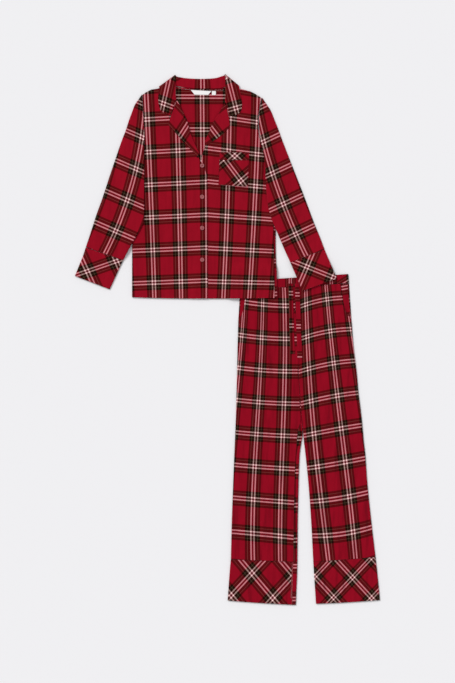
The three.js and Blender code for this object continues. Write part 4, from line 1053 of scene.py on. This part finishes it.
class PyjamaCloth(bpy.types.PropertyGroup):
    red: colour_prop("Red yarn", "Ground yarn, as a square root", (0.532, 0.051, 0.114))
    dark: colour_prop("Dark yarn", "Wide dark green band, as a square root", (0.115, 0.035, 0.008))
    white: colour_prop("White yarn", "Fine pair, as a square root", (1.0, 0.83, 0.82))
    wine: colour_prop("Wine yarn", "Between the white pair, as a square root", (0.30, 0.04, 0.07))
    line: colour_prop("Light line", "Thin line in the dark band, as a square root",
                      (0.36, 0.38, 0.28))
    warp_repeat: FloatProperty(name="Warp repeat", description="From pair to pair, in mm",
                               default=87.4, min=20)
    weft_repeat: FloatProperty(name="Weft repeat", description="From pair to pair, in mm",
                               default=101.4, min=20)
    wall: FloatProperty(name="Cloth", description="Thickness of the cloth in mm", default=1.3,
                        min=0.6, max=1.4)
    mesh_step: FloatProperty(name="Mesh step", description="Distance between points in mm",
                             default=5.0, min=2)
    crease: FloatProperty(name="Creases", description="Height of the creases, 1 as worn flat",
                          default=1.5, min=0, max=2)


class PyjamaTrim(bpy.types.PropertyGroup):
    button_size: FloatProperty(name="Buttons", description="Diameter", default=0.013,
                               unit="LENGTH")
    stitch: FloatProperty(name="Stitch", description="Length of a stitch", default=0.0026,
                          unit="LENGTH")
    thread: colour_prop("Thread", "Sewing thread", (0.13, 0.004, 0.01))


class PyjamaStage(bpy.types.PropertyGroup):
    floor: colour_prop("Floor", "Colour of the floor", (0.87, 0.865, 0.885))
    key: FloatProperty(name="Key light", description="Strength of the large soft light",
                       default=1.98, min=0)
    fill: FloatProperty(name="Fill light", description="Strength of the light all round",
                        default=0.56, min=0)


FINISH = {}


def finish_of(key, s):
    """One material for each finish, made when it is first asked for."""
    if key not in FINISH:
        FINISH[key] = {
            "shirt": lambda: tartan_finish("tartan twill shirt", s, (1.0, 1.0, 1.0), 0.5),
            "trousers": lambda: tartan_finish(
                "tartan twill trousers", s, (0.965, 0.82, 0.96), 0.95),
            "plain": lambda: tartan_finish("plain red twill", s, (0.97, 0.9, 0.95), 0.7, True),
            "label": lambda: label_finish(s),
            "button": lambda: button_finish(s),
            "thread": lambda: thread_finish(
                "thread wine", tuple(bpy.context.scene.pyjama_trim.thread)),
            "white thread": lambda: thread_finish("thread white", (0.62, 0.6, 0.58)),
        }[key]()
    return FINISH[key]


def lay(name, form, weave, flat_size, held="laid", rests_on=(), area=None, finish="shirt",
        slot="tartan", **options):
    """Builds one cloth piece and lets it ride on the set; its flat cut in metres is not used."""
    s = bpy.context.scene.pyjama_cloth
    surface, us, vs = form
    obj = cloth(name, surface, us, vs, weave, finish_of(finish, s),
                **{"wall": s.wall, "step": s.mesh_step, **options})
    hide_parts(name.removesuffix("_cloth"))
    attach(obj, "root")
    return obj


# WHERE THE TARTAN LIES: (warp, weft, x, y) of crossings

GRAIN = {
    "front_right": grain([
        (0, 0, 147.6, 119.4), (0, 1, 148.7, 151.8), (0, 2, 150, 185.3), (0, 3, 151.8, 217.9),
        (0, 4, 152.9, 250.4), (0, 5, 153.6, 282.6), (1, 0, 177, 117.8), (1, 1, 178, 150.2),
        (1, 2, 178.7, 182.9), (1, 3, 179.5, 215.3), (1, 4, 180.3, 248), (1, 5, 181, 281.2),
        (2, 2, 207.4, 182.5), (2, 3, 207.5, 215), (2, 4, 207.6, 247.6), (2, 5, 207.6, 281)], 5),
    "front_left": grain([
        (0, 0, 229.8, 118.3), (0, 1, 228.8, 150.6), (0, 2, 227.6, 183.6), (0, 3, 226.4, 216.2),
        (0, 4, 225.4, 249.0), (0, 5, 224.8, 281.8), (1, 0, 257.7, 122.3), (1, 1, 256.7, 154.3),
        (1, 2, 256.3, 186.3), (1, 3, 254.6, 217.9), (1, 4, 252, 250.3), (1, 5, 249.8, 282.5)], 5),
    "back": grain_at(202.0, 96.5, (28.2, 0), (0.3, 32.9)),
    "sleeve_right": grain([
        (i, j, x + 25.7 * i, y + 11.1 * i) for i in (-1, 0, 1) for j, x, y in (
            (-1, 144.5, 104.5), (0, 143.3, 137.9), (1, 136.6, 168.8), (2, 126.3, 200),
            (3, 115.2, 230.8), (3.64, 107.4, 250.8))], 5),
    "sleeve_left": grain([
        (i, j, x + 25.3 * i, y - 12 * i) for i in (-1, 0, 1) for j, x, y in (
            (-1, 256.5, 109.5), (0, 262.7, 141.9), (1, 272.7, 173.4), (2, 283.7, 204),
            (3, 295.5, 234.1))], 5),
    "cuff_right": grain_at(87.2, 271.2, (29, -10), (12.5, 27.5)),
    "cuff_left": grain_at(306.9, 266.8, (26.6, 10.7), (-12.8, 29.6)),
    "pocket_band": grain_at(234.7, 155.9, (20.9, 18.9), (-24.3, 21.9)),
    "chest_pocket": grain_at(240.9, 180.8, (16.9, 22.6), (-25.0, 21.0)),
    "leg_right": grain([
        (1, 0, 284.3, 305.6), (1, 1, 285.1, 338.8), (1, 2, 285.1, 370.8), (1, 3, 284, 402.8),
        (1, 4, 282.9, 435.9), (1, 5, 281.8, 468.5), (1, 6, 280.7, 500.8), (1, 7, 279.7, 536.6),
        (0, 0, 263, 305), (0, 1, 261, 338), (0, 2, 259.6, 369.8), (0, 3, 258.5, 402.3),
        (0, 4, 256.9, 434.8), (0, 5, 254.7, 466.3), (0, 6, 253.6, 498.1), (0, 7, 252, 534.5),
        (-1, 1, 241.5, 334.8), (-1, 2, 239.8, 367.4), (-1, 3, 236.8, 400.4),
        (-0.8, 4, 236.0, 433.2), (-0.72, 5, 235.2, 464.9), (-0.75, 6, 233.2, 497.5),
        (-0.74, 7, 231.5, 531.2), (1.5, 4, 296.4, 437.0), (1.5, 5, 295.4, 469.6),
        (1.55, 6, 295.4, 502.3), (1.53, 7, 294.4, 537.3)], 9),
    "leg_left": grain([
        (0, 0, 306.3, 304.4), (0, 1, 307.5, 336.7), (0, 2, 309.5, 368.7), (0, 3, 311.6, 400.1),
        (0, 4, 313.8, 433.2), (0, 5, 316.5, 466.3), (0, 6, 321.4, 500.8), (0, 7, 325.2, 534.5),
        (1, 0, 326.6, 299), (1, 1, 329.9, 330.9), (1, 2, 333.2, 363.7), (1, 3, 337.7, 395.8),
        (1, 4, 342, 428.3), (1, 5, 345.8, 462), (1, 6, 349.1, 497), (1, 7, 352.9, 532.8),
        (1.6, 0, 340.4, 298.2), (2, 1, 351.2, 328.7), (2, 2, 356.0, 360.6),
        (1.85, 3, 358.6, 393.2), (1.79, 4, 362.2, 425.6), (1.75, 5, 364.2, 457.8),
        (1.66, 6, 367.3, 491.9), (1.67, 7, 371.4, 527.4), (-0.3, 5, 307.7, 468.5),
        (-0.4, 6, 310.2, 502.7), (-0.44, 7, 312.9, 535.5)], 9),
    "hem_bias": grain([(0, 0, 252, 573.5), (1, 0, 231.1, 595.2), (0, 1, 272.8, 598.2),
                       (-1, 1, 293.2, 575.4)], 3),
    "hem_right": lambda x, y: np.where(
        (x > mix(293.1, 291.9, clamp((y - 560) / 43)))[..., None],
        np.stack([0.45 + 0 * x, (y - 599) / 32.7], -1), GRAIN["hem_bias"](x, y)),
    "hem_left": grain([(0, 0, 352.9, 578.9), (1, 0, 333.9, 598.5), (0, 1, 371.3, 596.8),
                       (1, -1, 314.4, 575.7)], 3),
    "waistband": lambda x, y: np.stack([
        (x - 290.3) / 20.5, (y - 287.9 + 0.626 * (np.maximum(x, 322) - 338.3)) / 32.7], -1),
    "pocket_facing": lambda x, y: np.stack([
        0.5 + 0 * x, (y - 288.3 + 0.2 * (x - 341)) / 32.7], -1),
    "tie_right": grain_at(283.9, 293.2, (28.2, 0), (0.8, 32.4)),
    "tie_left": grain_at(284.5, 294.4, (28.2, 0), (0.8, 32.0)),
    "lapel_right": lambda x, y: np.stack([
        (4.7 + (x - 168.8) * 0.735 - (y - 124.8) * 0.678) / 28.2,
        ((x - 183.1) * 0.84 + (y - 131.5) * 0.54) / 32.7], -1),
    "lapel_left": lambda x, y: np.stack([
        (5.6 - (x - 228.8) * 0.513 - (y - 128.4) * 0.702) / 28.2,
        ((215 - x) * 0.79 + (y - 132.8) * 0.61) / 32.7], -1),
    "collar_right": grain_at(163.4, 103.6, (26.4, 9.9), (-7.2, 31.7)),
    "collar_left": grain_at(235.8, 108.0, (27.1, -7.7), (8.2, 31.7)),
}

# CREASES: (x0, y0, x1, y1, width, height, bend)

SHIRT_CREASES = creases([
    (150, 160, 172, 182, 2.6, -0.8, 2.0), (146, 168, 166, 196, 2.4, 0.7, 2.0),
    (160, 205, 166, 262, 3.0, -0.7, 1.5), (168, 212, 171, 272, 3.4, 0.6, -1.0),
    (186, 186, 190, 250, 2.6, -0.6, 1.0), (240, 196, 236, 262, 3.0, -0.7, 1.0),
    (248, 190, 247, 240, 3.2, 0.6, -1.5), (262, 150, 243, 178, 2.4, -0.7, -2.0),
    (259, 158, 238, 192, 2.8, 0.6, -2.0), (152, 128, 164, 150, 2.6, -0.6, 1.0),
    (252, 122, 246, 142, 2.4, -0.6, 1.0), (138, 262, 168, 276, 2.6, -0.5, 1.0),
    (214, 214, 218, 268, 2.8, -0.5, -1.0), (140, 230, 152, 262, 2.4, -0.6, 1.2),
    (216, 262, 230, 286, 2.6, 0.5, 1.0)])
SLEEVE_CREASES = creases([
    (134, 132, 142, 152, 2.0, -0.9, 1.0), (130, 140, 140, 166, 2.4, 0.8, 1.2),
    (122, 160, 136, 182, 2.0, -0.8, 1.6), (112, 186, 130, 200, 2.2, -0.8, -1.4),
    (110, 196, 130, 212, 2.6, 0.7, -1.6), (104, 208, 126, 222, 2.0, -0.8, -1.2),
    (98, 226, 118, 240, 2.2, 0.7, -1.0), (96, 236, 112, 250, 2.0, -0.7, 1.0),
    (268, 128, 264, 150, 2.0, -0.9, -1.0), (276, 142, 268, 168, 2.4, 0.8, -1.2),
    (284, 164, 270, 186, 2.0, -0.8, -1.6), (296, 190, 278, 204, 2.2, -0.8, 1.4),
    (298, 200, 280, 216, 2.6, 0.7, 1.6), (304, 212, 284, 228, 2.0, -0.8, 1.2),
    (312, 230, 292, 244, 2.2, 0.7, 1.0), (316, 240, 300, 254, 2.0, -0.7, -1.0)])
LEG_CREASES = creases([
    (250, 302, 246, 372, 2.1, -0.8, 1.5), (256, 300, 254, 384, 2.2, 0.8, -1.5),
    (272, 304, 270, 356, 1.9, -0.8, 1.2), (282, 330, 291, 392, 2.1, -0.8, 2.0),
    (276, 338, 286, 410, 2.4, 0.7, 2.0), (266, 392, 262, 470, 2.5, -0.8, 1.5),
    (246, 410, 242, 486, 2.3, 0.8, -1.5), (286, 430, 280, 512, 2.4, -0.8, 1.5),
    (256, 470, 252, 548, 2.4, 0.7, 1.0), (240, 494, 238, 552, 2.1, -0.8, -1.0),
    (272, 500, 270, 556, 2.1, -0.7, 1.0), (302, 340, 296, 392, 1.9, 0.8, -1.5),
    (312, 306, 314, 372, 2.1, -0.9, -1.5), (322, 308, 326, 388, 2.4, 0.8, 1.5),
    (338, 306, 342, 366, 2.0, -0.8, 1.0), (308, 356, 304, 420, 2.1, -0.8, -2.0),
    (332, 390, 340, 470, 2.4, -0.8, 1.5), (350, 396, 354, 470, 2.2, 0.8, -1.2),
    (316, 430, 322, 510, 2.2, 0.8, 1.5), (340, 476, 346, 548, 2.2, -0.7, 1.0),
    (362, 490, 366, 546, 2.1, 0.7, 1.0), (326, 500, 330, 552, 2.1, -0.8, -1.0),
    (263, 300, 262, 340, 1.6, -0.8, 0.8), (279, 296, 277, 326, 1.5, -0.9, 0.5),
    (317, 296, 320, 334, 1.6, -0.8, 0.6), (331, 292, 334, 346, 1.9, -0.8, 1.0),
    (244, 340, 242, 396, 1.8, -0.7, 0.8), (297.3, 361, 300.3, 408, 0.75, -1.1, 0.6),
    (300.2, 404, 302.4, 434, 0.9, -0.9, -0.4), (294.6, 372, 297.4, 400, 1.0, 0.5, 0.4)])
# pleats of the gathered waist where nothing lies on it: each a valley down the cloth
PLEATS = creases([
    (x, y0, x + lean, y0 + reach, width, -depth, 0.3) for x, y0, lean, reach, width, depth in (
        (279.6, 275.5, 0.3, 34, 1.1, 1.3), (283.6, 275.5, -0.5, 22, 1.0, 1.1),
        (287.2, 275.5, 0.3, 30, 0.9, 1.2), (295.0, 275.5, 0.4, 16, 1.2, 1.3),
        (303.4, 286, 0.4, 24, 1.2, 1.0), (310.0, 287, -0.3, 19, 1.1, 1.1),
        (316.4, 284, 0.5, 30, 1.3, 1.1), (324.0, 279, 0.5, 24, 1.2, 1.0),
        (330.6, 275, 0.6, 28, 1.2, 1.1), (335.6, 271.5, 0.4, 12, 1.0, 1.3),
        (339.4, 271, 0.2, 12.5, 0.9, 1.2), (343.0, 271, -0.2, 12.5, 1.0, 1.3),
        (346.6, 271, 0.2, 12.5, 0.9, 1.1))])
HIDDEN_CREASES = creases([
    (150, 130, 180, 190, 4, 0.6, 2), (240, 120, 215, 200, 4, 0.6, -2), (160, 220, 176, 285, 4, 0.5, 1),
    (230, 210, 240, 285, 4, 0.5, 1), (200, 150, 196, 250, 4, 0.6, 1), (104, 200, 132, 216, 3, 0.6, 1),
    (300, 200, 276, 216, 3, 0.6, 1), (118, 160, 140, 178, 3, 0.5, 1), (288, 160, 268, 180, 3, 0.5, 1),
    (260, 320, 252, 400, 4, 0.6, 2), (280, 340, 288, 430, 4, 0.6, -1), (262, 430, 250, 520, 4, 0.6, 1),
    (320, 320, 330, 400, 4, 0.6, 2), (345, 330, 350, 420, 4, 0.5, 1), (330, 430, 344, 520, 4, 0.6, 1),
    (308, 380, 318, 470, 4, 0.6, 1)])


def crease_height():
    return bpy.context.scene.pyjama_cloth.crease


def shirt_relief(x, y):
    """Creases of the shirt's upper side, kept low where buttons, sleeves and the lap lie."""
    h = crease_height() * SHIRT_CREASES(x, y)
    calm = (soft(abs(x - 202) / 8 - 0.6) * soft((x - along(BODY_LEFT_EDGE, y) - 12) / 10)
            * soft((along(BODY_RIGHT_EDGE, y) - 12 - x) / 10))
    low = soft(abs(x - 202) / 8 - 0.4)
    return np.where(h > 0, h * calm, h * low)


def hidden_relief(x, y):
    return crease_height() * np.maximum(HIDDEN_CREASES(x, y), 0)


def sleeve_relief(x, y):
    return crease_height() * SLEEVE_CREASES(x, y)


def leg_relief(x, y):
    """Creases of the legs and the gathers above them, low under the shirt and the cuff."""
    cover = soft((296 - y) / 8) * soft((300 - x) / 8)
    folds = LEG_CREASES(x, y) * (1 - cover) + PLEATS(x, y)
    return crease_height() * folds + gathers(x, y)


class Part(bpy.types.Operator):
    """Common settings of the operators that build pieces."""
    bl_options = {"REGISTER", "UNDO"}


class PYJAMA_OT_shirt_body(Part):
    """Back and two fronts, on the straight grain"""
    bl_idname = "pyjama.shirt_body"
    bl_label = "Shirt body"

    def execute(self, context):
        right, left = front_right(shirt_relief), front_left(shirt_relief)
        lay("shirt_back_cloth", shirt_back(back_lift, hidden_relief), GRAIN["back"],
            (0.50, 0.665), rests_on=["trouser_front_right_cloth"], area=0.300)
        lay("shirt_front_right_cloth", right, GRAIN["front_right"],
            (0.235, 0.665), rests_on=["shirt_back_cloth"], area=0.142)
        lay("shirt_front_left_cloth", left, GRAIN["front_left"],
            (0.245, 0.665), rests_on=["shirt_back_cloth"], area=0.142)
        sew("shirt_hem_stitches", [row_on(right, (2.1, 10.9), (0.33, 0.33), 140),
                                   row_on(left, (2.4, 9.9), (0.33, 0.33), 100)])
        sew("placket_stitches", [row_on(right, (10.82, 10.82), (0.02, 8.9), 160)])
        x = np.linspace(178, 223.5, 60)
        y = along(BACK_TOP, x) + 0.9
        mx, my = plan(x, y)
        sew("neck_seam_stitches", [np.stack([mx, my, WALL + back_lift(x, y)], -1)],
            "white thread", radius=0.28)
        return {"FINISHED"}


class PYJAMA_OT_buttons(Part):
    """Four moulded buttons, each sewn on with a cross of thread"""
    bl_idname = "pyjama.buttons"
    bl_label = "Buttons"

    def execute(self, context):
        size = context.scene.pyjama_trim.button_size * 1000
        finish = finish_of("button", context.scene.pyjama_cloth)
        for k, y in enumerate(BUTTON_ROWS):
            obj = button(f"button_{k + 1}_moulding", BUTTON_X, y, size, finish)
            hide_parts(f"button_{k + 1}")
            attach(obj, "root")
            mx, my = plan(BUTTON_X, y)
            top = TUBE + STEP + GAP + BUTTON_WEB + 0.6
            cross = [np.array([(mx - HOLE_AT * s, my - HOLE_AT, top),
                               (mx + HOLE_AT * s, my + HOLE_AT, top)]) for s in (1, -1)]
            sew(f"button_{k + 1}_thread", cross, length=3.5, gap=0.1, radius=0.3)
        return {"FINISHED"}


class PYJAMA_OT_collar(Part):
    """Notched collar in one piece and the two turned lapels"""
    bl_idname = "pyjama.collar"
    bl_label = "Collar and lapels"

    def execute(self, context):
        sew("collar_stitches", [row_on(collar, (4.83, 4.83), rows) for rows in
                                ((0.2, 6.3), (22.7, 27.8))])
        lay("collar_cloth", (collar, [0, 1, 1.25, 1.5, 1.75, 2, 3.5, 5], range(29)),
            collar_weave, (0.49, 0.125), "folded",
            ["shirt_front_right_cloth", "shirt_front_left_cloth"], area=0.040, wall=1.3,
            step=4.0)
        us = [0.02, 0.25, 0.5, 0.75, 1, 2, 3.4, 5]
        rise = lambda x, y: 1.15 * lap_lift(x, y) + np.maximum(0, shirt_relief(x, y))
        level = lambda x, y: np.maximum(0, shirt_relief(x, y))
        sew("lapel_stitches", [row_on(lapel(LAPEL_RIGHT, rise), (1.3, 1.3), (0.15, 7.0)),
                               row_on(lapel(LAPEL_LEFT, level), (1.3, 1.3), (0.15, 6.8))])
        lay("lapel_right_cloth", (lapel(LAPEL_RIGHT, rise), us,
                                  [0, 1, 2, 3, 4, 4.5, 5, 5.5, 6, 6.5, 7.2]),
            GRAIN["lapel_right"], (0.07, 0.20), "folded", ["shirt_front_right_cloth"],
            area=0.0060, step=4.0)
        lay("lapel_left_cloth", (lapel(LAPEL_LEFT, level), us, range(8)),
            GRAIN["lapel_left"], (0.07, 0.17), "folded", ["shirt_front_left_cloth"],
            area=0.0048, step=4.0)
        return {"FINISHED"}


class PYJAMA_OT_sleeves(Part):
    """Two straight sleeves and their deep bias cuffs"""
    bl_idname = "pyjama.sleeves"
    bl_label = "Sleeves and cuffs"

    def execute(self, context):
        rows = [0.004, 1, 2.5, 4, 5, 6, 7, 8, 9, 10, 11, 12, 13]
        for side, table, cuff, lift in (
                ("right", SLEEVE_RIGHT, CUFF_RIGHT, right_sleeve_lift),
                ("left", SLEEVE_LEFT, CUFF_LEFT, left_sleeve_lift)):
            lay(f"sleeve_{side}_cloth",
                (tube(table, lift=lift, puff=sleeve_relief, under=hidden_relief), range(7), rows),
                GRAIN[f"sleeve_{side}"], (0.27, 0.52), area=0.115,
                rests_on=[f"shirt_front_{side}_cloth"], closed=True, sink="se")
            band = tube(cuff, lift=lift, puff=sleeve_relief)
            sew(f"cuff_{side}_stitches", [row_on(band, (2.03, 2.97), (v, v))
                                          for v in (0.09, 2.9)])
            lay(f"cuff_{side}_cloth", (band, range(7), [0, 0.5, 1, 1.5, 2, 3]),
                GRAIN[f"cuff_{side}"], (0.242, 0.097), closed=True, step=4.0, sink="s",
                rests_on=["trouser_front_left_cloth"] if side == "left" else [])
        return {"FINISHED"}


class PYJAMA_OT_pocket(Part):
    """Bias chest pocket and its top band"""
    bl_idname = "pyjama.pocket"
    bl_label = "Chest pocket"

    def execute(self, context):
        on_front = lambda x, y: TUBE + GAP + 0.6 + np.maximum(0, shirt_relief(x, y))
        grid = ([0, 0.5, 1], [0, 0.5, 1])
        band = patch([(219.7, 152.0), (249.0, 152.3), (248.8, 160.2), (219.4, 160.0)], on_front)
        bag = patch([(219.4, 160.1), (248.8, 160.3), (247.9, 186.8), (218.5, 184.6)], on_front)
        sew("pocket_stitches", [row_on(band, (0.02, 0.98), (0.9, 0.9)),
                                row_on(band, (0.02, 0.98), (0.1, 0.1)),
                                row_on(bag, (0.03, 0.03), (0.02, 0.97)),
                                row_on(bag, (0.97, 0.97), (0.02, 0.97)),
                                row_on(bag, (0.03, 0.97), (0.97, 0.97))])
        lay("pocket_band_cloth", (band, *grid),
            GRAIN["pocket_band"], (0.091, 0.025), wall=1.15, step=3.0,
            rests_on=["shirt_front_left_cloth"])
        lay("chest_pocket_cloth", (bag, *grid),
            GRAIN["chest_pocket"], (0.091, 0.080), wall=1.15, step=3.5,
            rests_on=["shirt_front_left_cloth"])
        return {"FINISHED"}


class PYJAMA_OT_labels(Part):
    """Neck label and size label, left bare"""
    bl_idname = "pyjama.labels"
    bl_label = "Labels"

    def execute(self, context):
        on_back = lambda x, y: WALL + back_lift(x, y) + GAP + LABEL_T / 2
        grid = ([0, 0.5, 1], [0, 0.5, 1])
        weave = grain_at(200, 90, (28.2, 0), (0, 32.7))
        for name, corners, size in (
                ("neck_label", [(190.7, 89.9), (211.3, 91.0), (208.3, 94.8), (194.5, 94.6)],
                 (0.062, 0.014)),
                ("size_label", [(211.8, 90.8), (215.9, 90.9), (215.8, 95.0), (211.7, 94.9)],
                 (0.0128, 0.0128))):
            ribbon = patch(corners, on_back)
            ends = (0.05, 0.95) if name == "neck_label" else (0.1, 0.9)
            sew(name + "_stitches", [row_on(ribbon, (u, u), (0.06, 0.94), 12) for u in ends],
                "white thread", length=1.8, gap=0.6, radius=0.16, sink=0.25)
            lay(name + "_cloth", (ribbon, *grid), weave, size, finish="label",
                slot="label", wall=0.9, step=1.5, rests_on=["shirt_back_cloth"],
                area=size[0] * size[1] * (0.8 if name == "neck_label" else 1.0))
        return {"FINISHED"}


class PYJAMA_OT_trousers(Part):
    """Two fronts, two backs and the plain pocket facings"""
    bl_idname = "pyjama.trousers"
    bl_label = "Trouser legs"

    def execute(self, context):
        for side, table, outer in (("right", LEG_RIGHT, "a"), ("left", LEG_LEFT, "b")):
            lay(f"trouser_back_{side}_cloth", trouser_back(table, outer, hidden_relief),
                lambda x, y: GRAIN[f"leg_{side}"](x, y - 2.2), (0.235, 0.86), area=0.175,
                step=6.0, finish="trousers")
            form = trouser_front(table, outer, leg_relief)
            edge = 2.9 if outer == "a" else 6.1
            sew(f"trouser_pocket_{side}_stitches", [row_on(form, (edge, edge), (0.06, 2.6))])
            lay(f"trouser_front_{side}_cloth", form,
                GRAIN[f"leg_{side}"], (0.225, 0.86), area=0.160, held="gathered",
                finish="trousers", rests_on=[f"trouser_back_{side}_cloth"], step=(1.9, 5.0))
        for side, corners in (
                ("right", [(240.9, 291.0), (249.4, 290.6), (244.6, 317.2), (239.5, 317.6)]),
                ("left", [(337.6, 284.7), (347.8, 284.0), (350.3, 315.8), (344.6, 316.3)])):
            lay(f"pocket_facing_{side}_cloth",
                (patch(corners, lambda x, y: 2.45), [0, 0.5, 1], [0, 0.5, 1]),
                GRAIN["pocket_facing"], (0.032, 0.090), wall=1.15, step=4.0, area=0.0021,
                finish="trousers" if side == "left" else "plain",
                rests_on=[f"trouser_back_{side}_cloth"])
        return {"FINISHED"}


class PYJAMA_OT_waist(Part):
    """Casing gathered on its elastic, and the two flat tie ends"""
    bl_idname = "pyjama.waist"
    bl_label = "Waistband and ties"

    def execute(self, context):
        def casing(x, y):
            seam = y - along([(240, 289.2), (349, 282.2)], x)
            return (gathers(x, y) - 0.45 * np.exp(-((seam + 0.9) / 0.5) ** 2)
                    + 0.8 * crease_height() * PLEATS(x, y))
        band = tube(WAISTBAND, puff=casing, under=lambda x, y: 0.8 * np.maximum(0, gathers(x, y)))
        sew("casing_stitches", [row_on(band, (2.01, 2.99), (1.72, 1.72), 240)])
        lay("waistband_cloth", (band, range(7), [0, 0.4, 0.8, 1.2, 1.6, 2]),
            GRAIN["waistband"], (0.88, 0.028), "gathered", closed=True, step=1.9, sink="e",
            finish="trousers")
        sway = lambda k: lambda u, v: (0.25 * np.sin(v * 3.1 + k) * (u - 0.5)
                                       - 0.2 * (2 * abs(u - 0.5)) ** 4)
        for side, table, k in (("right", TIE_RIGHT, 0.4), ("left", TIE_LEFT, 1.9)):
            lay(f"tie_{side}_cloth", (tie(table, sway(k)), [0, 0.25, 0.5, 0.75, 1],
                                      np.linspace(0, 3, 22)),
                GRAIN[f"tie_{side}"], (0.014, 0.225), finish="trousers",
                wall=1.4, step=3.0, rests_on=[f"trouser_front_{side}_cloth"])
        return {"FINISHED"}


class PYJAMA_OT_hems(Part):
    """Deep bias bands at the foot of both legs"""
    bl_idname = "pyjama.hems"
    bl_label = "Hem bands"

    def execute(self, context):
        for side, table in (("right", HEM_RIGHT), ("left", HEM_LEFT)):
            us = [0, 1, 2, 2.951, 2.959, 3, 4, 5, 6] if side == "right" else range(7)
            sew(f"hem_band_{side}_stitches", [row_on(tube(table), (2.02, 2.98), (v, v))
                                              for v in (0.07, 2.93)])
            lay(f"hem_band_{side}_cloth", (tube(table), us, [0, 1, 2, 3]),
                GRAIN[f"hem_{side}"], (0.415, 0.135), finish="trousers", closed=True,
                sink="s")
        return {"FINISHED"}


class PYJAMA_OT_stage(bpy.types.Operator):
    """Pale floor, soft studio light and the camera straight above"""
    bl_idname = "pyjama.stage"
    bl_label = "Floor, light and camera"

    def execute(self, context):
        s, scene = context.scene.pyjama_stage, context.scene
        mesh = bpy.data.meshes.new("floor")
        mesh.from_pydata([(-6, -6, -0.0003), (6, -6, -0.0003), (6, 6, -0.0003),
                          (-6, 6, -0.0003)], [], [(0, 1, 2, 3)])
        floor = bpy.data.objects.new("floor", mesh)
        m = Finish("floor paint")
        m.shine(Base_Color=(*s.floor, 1), Roughness=0.9, Specular_IOR_Level=0.1)
        mesh.materials.append(m.material)
        scene.collection.objects.link(floor)
        world = bpy.data.worlds.new("studio")
        world.use_nodes = True
        world.node_tree.nodes["Background"].inputs[0].default_value = (1, 1, 1, 1)
        world.node_tree.nodes["Background"].inputs[1].default_value = s.fill
        scene.world = world
        key = bpy.data.lights.new("key", "SUN")
        key.energy, key.angle = s.key, math.radians(24)
        lamp = bpy.data.objects.new("key", key)
        lamp.rotation_euler = (math.radians(-32), math.radians(-34), 0)
        scene.collection.objects.link(lamp)
        data = bpy.data.cameras.new("camera")
        data.sensor_fit, data.sensor_height = "VERTICAL", 24.0
        data.lens = data.sensor_height * CAMERA_HEIGHT / (PHOTO_ROWS * UNIT / 1000)
        data.clip_end = 50
        camera = bpy.data.objects.new("camera", data)
        x, y = plan(*PHOTO_MID)
        camera.location = (x / 1000, y / 1000, CAMERA_HEIGHT + 0.006)
        scene.collection.objects.link(camera)
        scene.camera = camera
        scene.view_settings.view_transform = "Standard"
        return {"FINISHED"}


class PYJAMA_PT_panel(bpy.types.Panel):
    """Lists the settings and the pieces"""
    bl_idname = "PYJAMA_PT_panel"
    bl_label = "Pyjama set"
    bl_space_type = "VIEW_3D"
    bl_region_type = "UI"
    bl_category = "Pyjamas"

    def draw(self, context):
        scene = context.scene
        for title, group in (("Cloth", scene.pyjama_cloth), ("Trim", scene.pyjama_trim),
                             ("Stage", scene.pyjama_stage)):
            box = self.layout.box()
            box.label(text=title)
            for name in type(group).__annotations__:
                box.prop(group, name)
        for step in STEPS:
            self.layout.operator(step.bl_idname)


GROUPS = (PyjamaCloth, PyjamaTrim, PyjamaStage)
STEPS = (PYJAMA_OT_trousers, PYJAMA_OT_waist, PYJAMA_OT_hems, PYJAMA_OT_shirt_body,
         PYJAMA_OT_buttons, PYJAMA_OT_sleeves, PYJAMA_OT_collar, PYJAMA_OT_pocket, PYJAMA_OT_labels,
         PYJAMA_OT_stage)


def register():
    for item in GROUPS + STEPS + (PYJAMA_PT_panel,):
        bpy.utils.register_class(item)
    bpy.types.Scene.pyjama_cloth = PointerProperty(type=PyjamaCloth)
    bpy.types.Scene.pyjama_trim = PointerProperty(type=PyjamaTrim)
    bpy.types.Scene.pyjama_stage = PointerProperty(type=PyjamaStage)


def unregister():
    for name in ("pyjama_cloth", "pyjama_trim", "pyjama_stage"):
        delattr(bpy.types.Scene, name)
    for item in reversed(GROUPS + STEPS + (PYJAMA_PT_panel,)):
        bpy.utils.unregister_class(item)


def main():
    register()
    for step in STEPS:
        group, name = step.bl_idname.split(".")
        getattr(getattr(bpy.ops, group), name)()


if __name__ == "__main__":
    main()
